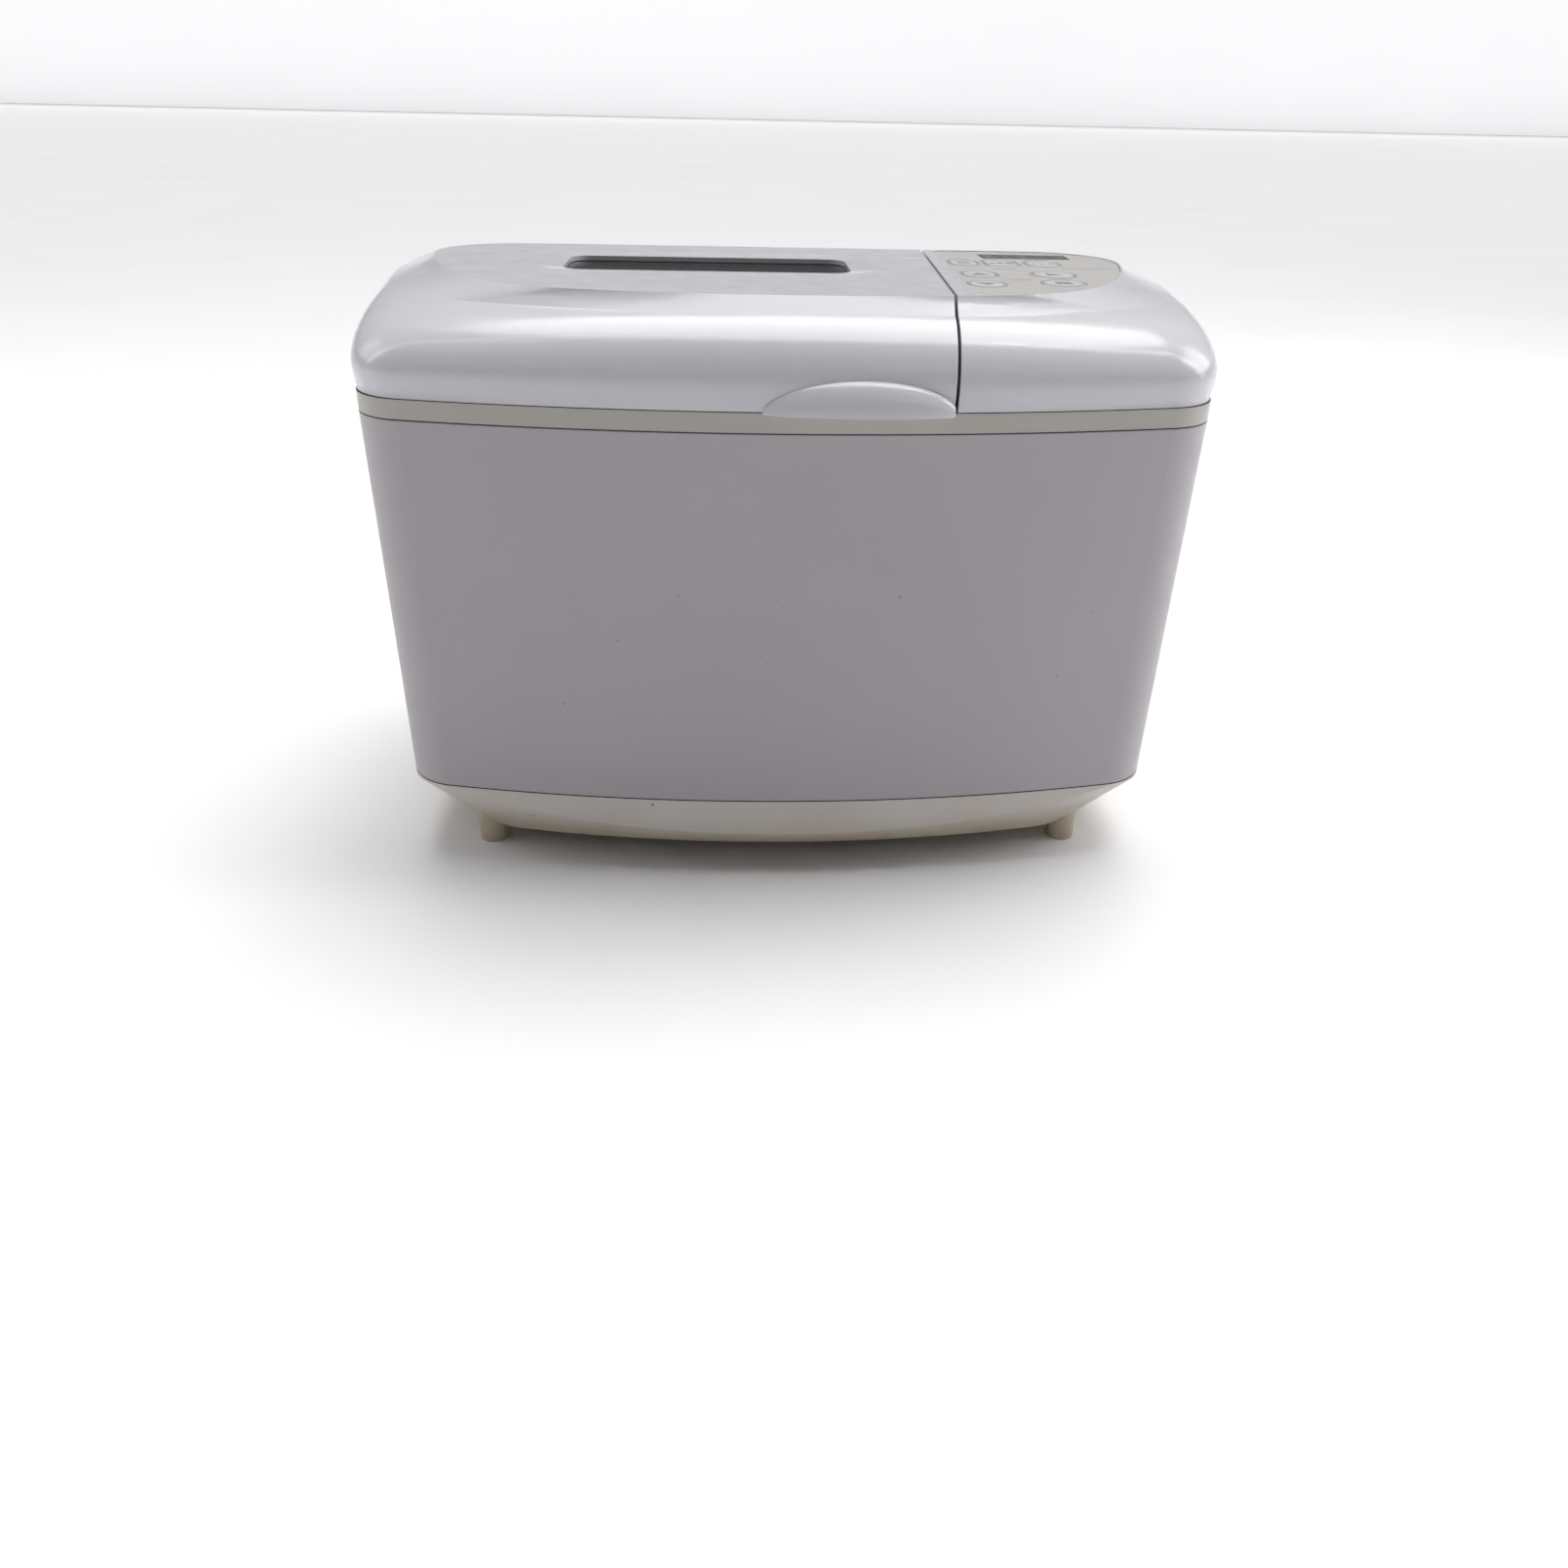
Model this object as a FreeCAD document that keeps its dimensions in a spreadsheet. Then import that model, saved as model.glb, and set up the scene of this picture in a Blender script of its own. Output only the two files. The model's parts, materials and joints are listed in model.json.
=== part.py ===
import FreeCAD, Part
import os
import re
from math import acos, cos, pi, sin, sqrt

import Sketcher

# A horizontal-loaf bread machine. +X is the viewer's right, the front faces -Y and +Z is up.
# The origin is at the bottom centre, on the plane that the four feet stand on. Millimetres.

Vector = FreeCAD.Vector
Rotation = FreeCAD.Rotation
Placement = FreeCAD.Placement

# ---------------------------------------------------------------- driving dimensions

DIMENSIONS = {
    # levels of the outer casing
    "tray_bottom": 12.5,
    "seam_level": 45.7,
    "collar_bottom": 245.8,
    "collar_top": 255.2,
    "lid_bottom": 255.8,
    "dome_start": 267.0,
    "shoulder_level": 295.0,
    "plateau_level": 302.5,
    "seam_gap": 0.6,
    "shell_wall": 2.5,
    "tongue_height": 5.0,
    "tongue_wall": 1.6,
    # plan of the casing: half widths and front and back reach
    "seam_half_width": 208.5,
    "seam_reach": 129.0,
    "collar_half_width": 212.3,
    "collar_reach": 135.0,
    "brim_half_width": 212.2,
    "brim_reach": 135.4,
    "lid_half_width": 213.1,
    "lid_reach": 136.5,
    "lid_corner": 34.0,
    "front_bow_radius": 880.0,
    "side_bow_radius": 5200.0,
    "back_bow_radius": 12000.0,
    "casing_corner": 31.0,
    "shoulder_half_width": 213.0,
    "shoulder_front": 111.5,
    "shoulder_back": 113.0,
    "shoulder_bow_radius": 430.0,
    "shoulder_side_radius": 365.0,
    "shoulder_side_apex": 53.0,
    "shoulder_corner": 79.0,
    "shoulder_back_corner": 32.0,
    "plateau_half_width": 195.8,
    "plateau_front": 102.2,
    "plateau_back": 95.0,
    "plateau_bow_radius": 500.0,
    "plateau_side_radius": 245.0,
    "plateau_side_apex": 74.8,
    "plateau_corner": 86.0,
    "plateau_back_corner": 44.0,
    "dome_fullness": 0.95,
    "hull_half_width": 186.0,
    "hull_reach": 116.6,
    "hull_back": 112.0,
    "hull_bow_radius": 680.0,
    "hull_corner": 52.0,
    "flare_half_width": 213.0,
    "flare_reach": 149.6,
    "flare_back": 135.0,
    "flare_bow_radius": 455.0,
    "flare_corner": 31.5,
    # split between the lid and the control housing
    "split_front": 77.6,
    "split_back": 87.0,
    "split_gap": 1.6,
    # feet
    "foot_spread": 166.6,
    "foot_reach": 86.9,
    "foot_radius": 8.0,
    "foot_top": 30.0,
    # lid window and steam vent
    "window_centre_x": -41.0,
    "window_centre_y": 19.0,
    "window_width": 154.0,
    "window_depth": 60.0,
    "window_corner": 11.0,
    "well_margin": 13.0,
    "well_depth": 1.2,
    "well_drop": 3.6,
    "glass_thickness": 3.0,
    "gasket_wall": 1.6,
    "vent_centre_y": 103.0,
    "vent_drop": 6.4,
    "vent_width": 92.0,
    "vent_depth": 7.0,
    # thumb lip of the lid
    "lip_centre_x": 31.0,
    "lip_half_width": 46.0,
    "lip_height": 15.8,
    "lip_bulge": 7.6,
    # lid hinge
    "hinge_y": 134.0,
    "hinge_z": 260.4,
    "hinge_spread": 62.0,
    "hinge_centre_x": -68.0,
    "hinge_barrel": 3.9,
    "hinge_pin_radius": 1.6,
    "hinge_running_gap": 0.06,
    "knuckle_length": 14.0,
    "lug_length": 4.0,
    "lug_gap": 0.4,
    "rear_relief": 261.6,
    # baking chamber and pan
    "chamber_x": -52.0,
    "chamber_width": 216.0,
    "chamber_depth": 172.0,
    "chamber_corner": 24.0,
    "chamber_floor": 72.0,
    "chamber_top": 246.6,
    "sheet_wall": 1.2,
    "chamber_flange": 7.0,
    "deck_level": 246.8,
    "deck_thickness": 2.4,
    "pan_bottom": 98.0,
    "pan_rim": 212.0,
    "pan_width": 184.0,
    "pan_depth": 136.0,
    "pan_draft": 10.0,
    "pan_corner": 22.0,
    "pan_wall": 1.6,
    "rim_lip": 3.0,
    "pan_foot_radius": 36.0,
    "pan_foot_height": 12.0,
    "seat_height": 9.0,
    "handle_level": 216.0,
    "handle_reach": 38.0,
    "handle_wire": 2.0,
    "handle_bend": 9.0,
    "ear_offset": 95.6,
    "ear_thickness": 1.8,
    # drive train
    "chassis_level": 58.0,
    "chassis_thickness": 2.0,
    "chassis_width": 388.0,
    "chassis_depth": 222.0,
    "shaft_radius": 4.0,
    "shaft_running_gap": 0.05,
    "bush_wall": 3.0,
    "motor_x": 140.0,
    "motor_radius": 33.0,
    "motor_height": 62.0,
    "motor_shaft_radius": 3.0,
    "drive_pulley_radius": 42.0,
    "motor_pulley_radius": 9.0,
    "pulley_bottom": 31.0,
    "belt_width": 10.0,
    "belt_thickness": 2.0,
    "belt_gap": 0.3,
    "pulley_flange": 1.5,
    "coupler_radius": 12.0,
    "paddle_length": 46.0,
    "paddle_height": 30.0,
    # heating element
    "element_level": 112.0,
    "element_radius": 3.2,
    "element_wall_gap": 9.0,
    "element_bend": 18.0,
    "lead_bend": 5.0,
    # control panel
    "panel_strip": 7.0,
    "overlay_recess": 1.0,
    "overlay_thickness": 0.6,
    "overlay_corner": 9.0,
    "key_gap": 0.35,
    "key_height": 3.4,
    "key_proud": 0.15,
    "key_travel_room": 0.6,
    "board_level": 286.0,
    "board_thickness": 1.6,
    "display_x": 144.0,
    "display_y": 69.0,
    "display_width": 52.0,
    "display_depth": 20.0,
    # mains cord inlet
    "inlet_x": 150.0,
    "inlet_z": 74.0,
    "inlet_bore": 3.6,
    "inlet_length": 15.3,
    # screws
    "screw_radius": 1.9,
    "screw_head": 3.6,
    "screw_head_height": 2.4,
    "screw_length": 12.0,
}

doc = FreeCAD.newDocument("bread_machine")
sheet = doc.addObject("Spreadsheet::Sheet", "dims")
for row, (alias, number) in enumerate(DIMENSIONS.items(), start=1):
    sheet.set(f"A{row}", alias)
    sheet.set(f"B{row}", str(number))
    sheet.setAlias(f"B{row}", alias)
doc.recompute()

nodes = {}


def size(alias):
    """The value of one cell of the sheet, for the shapes made with Part's functions."""
    return float(sheet.get(alias))


def formula(text):
    """An expression over the sheet, from a text in which the aliases stand bare."""
    text = str(text)
    return re.sub(r"[a-z_]+", lambda m: f"dims.{m[0]}" if m[0] in DIMENSIONS else m[0], text)


def bind(item, **cells):
    """Binds properties of an object to the sheet; a double underscore stands for a dot."""
    for name, text in cells.items():
        item.setExpression(name.replace("__", "."), formula(text))


def place(item, x=0, y=0, z=0, rotation=None):
    """Puts an object at a point given by expressions, turned by an optional rotation."""
    if rotation is not None:
        item.Placement = Placement(Vector(), rotation)
    bind(item, Placement__Base__x=x, Placement__Base__y=y, Placement__Base__z=z)
    return item


def register(item, label):
    """Makes an object one of the machine's pieces, with the label that names its file."""
    item.Label = label
    nodes[label] = item
    return item


# ---------------------------------------------------------------- primitives and booleans

ALONG_X = Rotation(Vector(0, 1, 0), 90)
ALONG_Y = Rotation(Vector(1, 0, 0), -90)


def box(name, length, width, height, x, y, z):
    """A box centred on x and y that stands on z."""
    item = doc.addObject("Part::Box", name)
    bind(item, Length=length, Width=width, Height=height)
    return place(item, f"{x} - ({length}) / 2", f"{y} - ({width}) / 2", z)


def cylinder(name, radius, height, x, y, z, rotation=None):
    item = doc.addObject("Part::Cylinder", name)
    bind(item, Radius=radius, Height=height)
    return place(item, x, y, z, rotation)


def cone(name, lower, upper, height, x, y, z):
    item = doc.addObject("Part::Cone", name)
    bind(item, Radius1=lower, Radius2=upper, Height=height)
    return place(item, x, y, z)


def cut(name, base, *tools):
    """The base with each tool taken away."""
    for count, tool in enumerate(tools):
        last = count == len(tools) - 1
        item = doc.addObject("Part::Cut", name if last else f"{name}_step{count}")
        item.Base = base
        item.Tool = tool
        base = item
    return base


def fuse(name, *parts):
    item = doc.addObject("Part::MultiFuse", name)
    item.Shapes = list(parts)
    return item


def group(name, parts):
    """Several separate solids kept as one piece of the list."""
    item = doc.addObject("Part::Compound", name)
    item.Links = list(parts)
    return item


def shaped(name, shape):
    """A piece whose shape comes from Part's functions."""
    item = doc.addObject("Part::Feature", name)
    item.Shape = shape
    return item


def tube(name, outer, inner, height, x, y, z, rotation=None):
    """A round tube; its bore runs through."""
    wall = cylinder(f"{name}_outer", outer, height, x, y, z, rotation)
    bore = cylinder(f"{name}_bore", inner, height, x, y, z, rotation)
    return cut(name, wall, bore)


def screw(name, x, y, z):
    """A pan-head screw that points up, its head's underside at z."""
    head = cylinder(f"{name}_head", "screw_head", "screw_head_height", x, y, f"{z} - screw_head_height")
    shank = cylinder(f"{name}_shank", "screw_radius", "screw_length", x, y, z)
    return fuse(name, head, shank)


# ---------------------------------------------------------------- sketches and bodies


def new_body(name):
    return doc.addObject("PartDesign::Body", name)


def origin_plane(body, role):
    return next(f for f in body.Origin.OriginFeatures if f.Role == role)


def rounded_sketch(body, name, width, depth, radius, x, y, z):
    """A rounded rectangle on the level z, bound to the sheet by its constraints."""
    sketch = body.newObject("Sketcher::SketchObject", name)
    sketch.AttachmentSupport = [(origin_plane(body, "XY_Plane"), "")]
    sketch.MapMode = "FlatFace"
    a, b, r = 50.0, 30.0, 5.0
    corners = [(a - r, -b + r, -pi / 2), (a - r, b - r, 0), (-a + r, b - r, pi / 2), (-a + r, -b + r, pi)]
    lines = [
        ((-a + r, -b), (a - r, -b)), ((a, -b + r), (a, b - r)), ((a - r, b), (-a + r, b)),
        ((-a, b - r), (-a, -b + r)),
    ]
    for start, end in lines:
        sketch.addGeometry(Part.LineSegment(Vector(*start, 0), Vector(*end, 0)))
    for cx, cy, turn in corners:
        circle = Part.Circle(Vector(cx, cy, 0), Vector(0, 0, 1), r)
        sketch.addGeometry(Part.ArcOfCircle(circle, turn, turn + pi / 2))
    for side in range(4):
        sketch.addConstraint(Sketcher.Constraint("Tangent", side, 2, side + 4, 1))
        sketch.addConstraint(Sketcher.Constraint("Tangent", side + 4, 2, (side + 1) % 4, 1))
    for arc in (5, 6, 7):
        sketch.addConstraint(Sketcher.Constraint("Equal", 4, arc))
    sketch.addConstraint(Sketcher.Constraint("Horizontal", 2))
    sketch.addConstraint(Sketcher.Constraint("Vertical", 3))
    sketch.addConstraint(Sketcher.Constraint("Symmetric", 0, 1, 0, 2, -2))
    sketch.addConstraint(Sketcher.Constraint("Symmetric", 1, 1, 1, 2, -1))
    sized = [
        (Sketcher.Constraint("Radius", 4, r), radius),
        (Sketcher.Constraint("DistanceX", 3, 1, 1, 1, 2 * a), width),
        (Sketcher.Constraint("DistanceY", 0, 1, 2, 1, 2 * b), depth),
    ]
    for constraint, text in sized:
        index = sketch.addConstraint(constraint)
        sketch.setExpression(f"Constraints[{index}]", formula(text))
    bind(sketch, AttachmentOffset__Base__x=x, AttachmentOffset__Base__y=y, AttachmentOffset__Base__z=z)
    return sketch


def pad(body, name, sketch, length):
    feature = body.newObject("PartDesign::Pad", name)
    feature.Profile = sketch
    bind(feature, Length=length)
    return feature


def pocket_down(body, name, sketch, length):
    """Cuts from the sketch downwards."""
    feature = body.newObject("PartDesign::Pocket", name)
    feature.Profile = sketch
    bind(feature, Length=length)
    return feature


def loft(body, name, lower, upper, kind="Additive"):
    feature = body.newObject(f"PartDesign::{kind}Loft", name)
    feature.Profile = lower
    feature.Sections = [upper]
    feature.Ruled = True
    return feature


def rounded_plate(name, width, depth, radius, height, x, y, z):
    """A flat plate with rounded corners, its underside on z."""
    body = new_body(name)
    sketch = rounded_sketch(body, f"{name}_plan", width, depth, radius, x, y, z)
    pad(body, f"{name}_pad", sketch, height)
    return body


def rounded_ring(name, width, depth, radius, wall, height, x, y, z):
    """A rounded rectangular ring whose outside is width by depth."""
    body = rounded_plate(name, width, depth, radius, height, x, y, z)
    sketch = rounded_sketch(
        body, f"{name}_hole", f"{width} - 2 * ({wall})", f"{depth} - 2 * ({wall})", f"{radius} - ({wall})",
        x, y,
        f"{z} + {height}",
    )
    pocket_down(body, f"{name}_pocket", sketch, height)
    return body


def turned(name, profile, x, y):
    """A body of revolution about the vertical through x and y.

    The profile is a list of (radius, level) pairs, each an expression, in order round the section.
    """
    body = new_body(name)
    sketch = body.newObject("Sketcher::SketchObject", f"{name}_section")
    sketch.AttachmentSupport = [(origin_plane(body, "XZ_Plane"), "")]
    sketch.MapMode = "FlatFace"
    guess = [(evaluate(r), evaluate(z)) for r, z in profile]
    count = len(profile)
    for k in range(count):
        start, end = guess[k], guess[(k + 1) % count]
        sketch.addGeometry(Part.LineSegment(Vector(*start, 0), Vector(*end, 0)))
    for k in range(count):
        sketch.addConstraint(Sketcher.Constraint("Coincident", k, 2, (k + 1) % count, 1))
    for k, (r, z) in enumerate(profile):
        across = sketch.addConstraint(Sketcher.Constraint("DistanceX", -1, 1, k, 1, guess[k][0]))
        up = sketch.addConstraint(Sketcher.Constraint("DistanceY", -1, 1, k, 1, guess[k][1]))
        sketch.setExpression(f"Constraints[{across}]", formula(r))
        sketch.setExpression(f"Constraints[{up}]", formula(z))
    feature = body.newObject("PartDesign::Revolution", f"{name}_turn")
    feature.Profile = sketch
    feature.ReferenceAxis = (sketch, ["V_Axis"])
    feature.Angle = 360
    bind(body, Placement__Base__x=x, Placement__Base__y=y)
    return body


def evaluate(text):
    """The value of an expression over the sheet."""
    return float(sheet.evalExpression(formula(text).replace("dims.", "")))


# ---------------------------------------------------------------- casing outlines


def curvature_mix(first, last, share):
    """The radius whose curvature lies a share of the way from one radius to another."""
    return 1 / ((1 - share) / first + share / last)


def outline_values(level_name):
    """Plan of the casing at a named level: reaches, bow radii and corner radii."""
    straight = {
        "bow": size("front_bow_radius"),
        "side": size("side_bow_radius"),
        "rear": size("back_bow_radius"),
        "apex": 0.0,
        "corner": size("casing_corner"),
        "rear_corner": size("casing_corner"),
    }
    if level_name in ("brim", "lid"):
        straight.update(corner=size("lid_corner"), rear_corner=size("lid_corner"))
    if level_name in ("seam", "collar", "brim", "lid"):
        reach = size(f"{level_name}_reach")
        return dict(straight, half=size(f"{level_name}_half_width"), front=reach, back=reach)
    if level_name in ("hull", "flare"):
        return dict(
            straight, half=size(f"{level_name}_half_width"), front=size(f"{level_name}_reach"),
            back=size(f"{level_name}_back"), bow=size(f"{level_name}_bow_radius"),
            corner=size(f"{level_name}_corner"),
        )
    return {
        "half": size(f"{level_name}_half_width"),
        "front": size(f"{level_name}_front"),
        "back": size(f"{level_name}_back"),
        "bow": size(f"{level_name}_bow_radius"),
        "side": size(f"{level_name}_side_radius"),
        "rear": size("back_bow_radius"),
        "apex": size(f"{level_name}_side_apex"),
        "corner": size(f"{level_name}_corner"),
        "rear_corner": size(f"{level_name}_back_corner"),
    }


def mix(first, last, share):
    """An outline between two others; bow radii change by curvature, the rest in proportion."""
    mixed = {}
    for key, value in first.items():
        if key in ("bow", "side", "rear"):
            mixed[key] = curvature_mix(value, last[key], share)
        else:
            mixed[key] = value + (last[key] - value) * share
    return mixed


def inset(values, wall):
    """The outline moved inwards by a wall thickness."""
    moved = {key: value - wall for key, value in values.items()}
    moved["apex"] = values["apex"]
    return moved


def corner_centre(big, big_radius, side, side_radius, radius, towards):
    """Centre of the corner arc that touches two larger arcs from inside."""
    reach_big = big_radius - radius
    reach_side = side_radius - radius
    gap = side - big
    distance = gap.Length
    along = (reach_big**2 - reach_side**2 + distance**2) / (2 * distance)
    across = sqrt(reach_big**2 - along**2)
    unit = Vector(gap).normalize()
    normal = Vector(-unit.y, unit.x, 0)
    foot = big + unit * along
    options = [foot + normal * across, foot - normal * across]
    return max(options, key=lambda point: point.dot(towards))


def arc_between(centre, start, end, bulge):
    """Arc from start to end about a centre, through the side that the bulge points to."""
    middle = centre + bulge.normalize() * (start - centre).Length
    return Part.Arc(start, middle, end).toShape()


def outline(values, level):
    """Closed plan outline at a level: bowed front, sides and back with four round corners."""
    half, corner, rear_corner = values["half"], values["corner"], values["rear_corner"]
    front = Vector(0, -values["front"] + values["bow"], 0)
    back = Vector(0, values["back"] - values["rear"], 0)
    right = Vector(half - values["side"], values["apex"], 0)
    low = corner_centre(front, values["bow"], right, values["side"], corner, Vector(1, -1, 0))
    high = corner_centre(back, values["rear"], right, values["side"], rear_corner, Vector(1, 1, 0))

    def touch(big, radius, small):
        return big + (small - big).normalize() * radius

    front_end = touch(front, values["bow"], low)
    side_start = touch(right, values["side"], low)
    side_end = touch(right, values["side"], high)
    back_end = touch(back, values["rear"], high)

    def mirrored(point):
        return Vector(-point.x, point.y, point.z)

    def corner_bulge(centre, first, second):
        return (first - centre).normalize() + (second - centre).normalize()

    edges = [
        arc_between(front, mirrored(front_end), front_end, Vector(0, -1, 0)),
        arc_between(low, front_end, side_start, corner_bulge(low, front_end, side_start)),
        arc_between(right, side_start, side_end, corner_bulge(right, side_start, side_end)),
        arc_between(high, side_end, back_end, corner_bulge(high, side_end, back_end)),
        arc_between(back, back_end, mirrored(back_end), Vector(0, 1, 0)),
    ]
    left, low_left, high_left = mirrored(right), mirrored(low), mirrored(high)
    back_left, side_high = mirrored(back_end), mirrored(side_end)
    side_low, front_left = mirrored(side_start), mirrored(front_end)
    edges.append(
        arc_between(high_left, back_left, side_high, corner_bulge(high_left, back_left, side_high))
    )
    edges.append(arc_between(left, side_high, side_low, corner_bulge(left, side_high, side_low)))
    edges.append(arc_between(low_left, side_low, front_left, corner_bulge(low_left, side_low, front_left)))
    wire = Part.Wire(edges)
    wire.translate(Vector(0, 0, level))
    return wire


def skin(sections, ruled=True):
    """Solid through a list of (outline values, level)."""
    return Part.makeLoft([outline(values, level) for values, level in sections], True, ruled)


def block(low, high):
    """Box between two corners."""
    spread = Vector(*high) - Vector(*low)
    return Part.makeBox(spread.x, spread.y, spread.z, Vector(*low))


REACH = 400.0


def casing_values(level):
    """Plan of the tapered casing at a level between the seam and the collar."""
    share = (level - size("seam_level")) / (size("collar_bottom") - size("seam_level"))
    return mix(outline_values("seam"), outline_values("collar"), share)


def dome(wall=0.0, depth=0.0):
    """The upper casing as a solid: tucked-in skirt, round shoulder, bevel and flat plateau."""
    brim = inset(outline_values("brim"), wall)
    low = inset(outline_values("lid"), wall)
    high = inset(outline_values("shoulder"), wall)
    top = inset(outline_values("plateau"), wall)
    bottom, start = size("lid_bottom"), size("dome_start")
    shoulder = size("shoulder_level") - wall
    fullness = size("dome_fullness")
    full_turn = 1 - sqrt(1 - fullness**2)
    sections = [(low, start)]
    steps = 6
    for k in range(1, steps + 1):
        rise = sin(k / steps * pi / 2)
        inward = (1 - sqrt(1 - (fullness * rise) ** 2)) / full_turn
        sections.append((mix(low, high, inward), start + (shoulder - start) * rise))
    crown = skin([(high, shoulder), (top, size("plateau_level") - wall)])
    if not wall:
        sections.insert(0, (brim, bottom))
        return skin(sections, ruled=False).fuse([crown]).removeSplitter()
    skirt = skin([(brim, bottom - depth), (brim, bottom)])
    collar = skin([(brim, bottom), (low, start)])
    return skin(sections, ruled=False).fuse([crown, skirt, collar]).removeSplitter()


def split_half(side, offset):
    """Half space left (-1) or right (1) of the split plane, moved by an offset away from it."""
    front, back = -size("plateau_front"), size("plateau_back")
    slope = (size("split_back") - size("split_front")) / (back - front)
    x_front = size("split_front") + slope * (-REACH - front) + side * offset
    x_back = size("split_front") + slope * (REACH - front) + side * offset
    points = [
        Vector(x_front, -REACH, 0),
        Vector(x_back, REACH, 0),
        Vector(side * REACH, REACH, 0),
        Vector(side * REACH, -REACH, 0),
    ]
    return Part.Face(Part.makePolygon(points + points[:1])).extrude(Vector(0, 0, REACH))


# ---------------------------------------------------------------- casing pieces


def make_body_shell():
    """Tapered side wall of the casing, open at the top and bottom, with rear cooling slots."""
    low = size("seam_level") + size("seam_gap") / 2
    high = size("collar_bottom") - size("seam_gap") / 2
    wall = size("shell_wall")
    outer = skin([(casing_values(low), low), (casing_values(high), high)])
    inner = skin([(inset(casing_values(low), wall), low), (inset(casing_values(high), wall), high)])
    shell = outer.cut(inner)
    slots = []
    slot_width, slot_height, slot_step = 3.0, 34.0, 8.0
    for row in (96.0, 140.0):
        for k in range(9):
            x = 92.0 + k * slot_step
            slots.append(block((x, 110, row), (x + slot_width, 150, row + slot_height)))
    inlet = Part.makeCylinder(
        size("inlet_bore") + 4.4, 60, Vector(size("inlet_x"), 100, size("inlet_z")), Vector(0, 1, 0)
    )
    return shell.cut(slots + [inlet])


def hull_solid(wall, top):
    """Boat-shaped lower casing between its rounded bottom and a top level."""
    bottom = size("tray_bottom") + wall
    seam = size("seam_level")
    upright = inset(outline_values("seam"), wall)
    low = inset(outline_values("hull"), wall)
    flare = inset(outline_values("flare"), wall)
    wall_block = skin([(upright, bottom), (upright, top)])
    lean = (top - bottom) / (seam - bottom)
    return wall_block.common(skin([(low, bottom), (mix(low, flare, lean), top)]))


def make_base_tray():
    """Bottom tray with a tongue that enters the side wall, chassis posts and vent slots."""
    wall = size("shell_wall")
    top = size("seam_level") - size("seam_gap") / 2
    outer = hull_solid(0, top)
    inner = hull_solid(wall, top)
    tray = outer.cut(inner)
    gap = 0.2
    tongue_outer = inset(casing_values(top), wall + gap)
    tongue_inner = inset(tongue_outer, size("tongue_wall"))
    foot, head = top - 4.0, top + size("tongue_height")
    tongue = skin([(tongue_outer, foot), (tongue_outer, head)])
    tongue = tongue.cut(skin([(tongue_inner, foot), (tongue_inner, head)]))
    trim = inset(outline_values("seam"), 0.5)
    pieces = [tongue.common(skin([(trim, foot), (trim, head)]))]
    for x in (-1, 1):
        for y in (-1, 1):
            base = Vector(x * size("foot_spread"), y * size("foot_reach"), size("tray_bottom"))
            post = Part.makeCylinder(6.0, size("chassis_level") - size("tray_bottom"), base)
            pieces.append(post.cut(hull_outside()))
    tray = tray.fuse(pieces)
    slots = [block((x, -50, 0), (x + 3.0, 50, 25)) for x in range(100, 172, 9)]
    holes = []
    for x in (-1, 1):
        for y in (-1, 1):
            base = Vector(x * size("foot_spread"), y * size("foot_reach"), 0)
            holes.append(Part.makeCylinder(size("screw_head") + 0.4, 36.0, base))
            holes.append(Part.makeCylinder(size("screw_radius") + 0.02, 60.0, base))
    return tray.cut(slots + holes)


def hull_outside():
    """Everything round the tray's outer surface, to trim what would stand out of it."""
    top = size("seam_level") + 40
    return block((-REACH, -REACH, 0), (REACH, REACH, top)).cut(hull_solid(0, top))


def make_feet():
    """Four short round feet that grow out of the tray's underside, hollow for the screws."""
    feet = []
    tray = hull_solid(0, size("seam_level"))
    for x in (-1, 1):
        for y in (-1, 1):
            base = Vector(x * size("foot_spread"), y * size("foot_reach"), 0)
            foot = Part.makeCylinder(size("foot_radius"), size("foot_top"), base)
            well = Part.makeCylinder(size("screw_head") + 0.4, size("foot_top"), base)
            feet.append(foot.cut(tray).cut(well).Solids[0])
    return Part.makeCompound(feet)


def rounded_rectangle(width, depth, radius, x, y, level):
    """Closed rounded rectangle for a cutting tool."""
    a, b = width / 2, depth / 2
    diagonal = radius * (1 - sqrt(0.5))
    points = [
        ((a - radius, -b), (a - diagonal, -b + diagonal), (a, -b + radius)),
        ((a, b - radius), (a - diagonal, b - diagonal), (a - radius, b)),
        ((-a + radius, b), (-a + diagonal, b - diagonal), (-a, b - radius)),
        ((-a, -b + radius), (-a + diagonal, -b + diagonal), (-a + radius, -b)),
    ]
    edges = []
    for k, (start, middle, end) in enumerate(points):
        following = points[(k + 1) % 4][0]
        edges.append(Part.Arc(Vector(*start, 0), Vector(*middle, 0), Vector(*end, 0)).toShape())
        edges.append(Part.LineSegment(Vector(*end, 0), Vector(*following, 0)).toShape())
    wire = Part.Wire(edges)
    wire.translate(Vector(x, y, level))
    return wire


def rounded_prism(width, depth, radius, x, y, low, high):
    face = Part.Face(rounded_rectangle(width, depth, radius, x, y, low))
    return face.extrude(Vector(0, 0, high - low))


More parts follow.
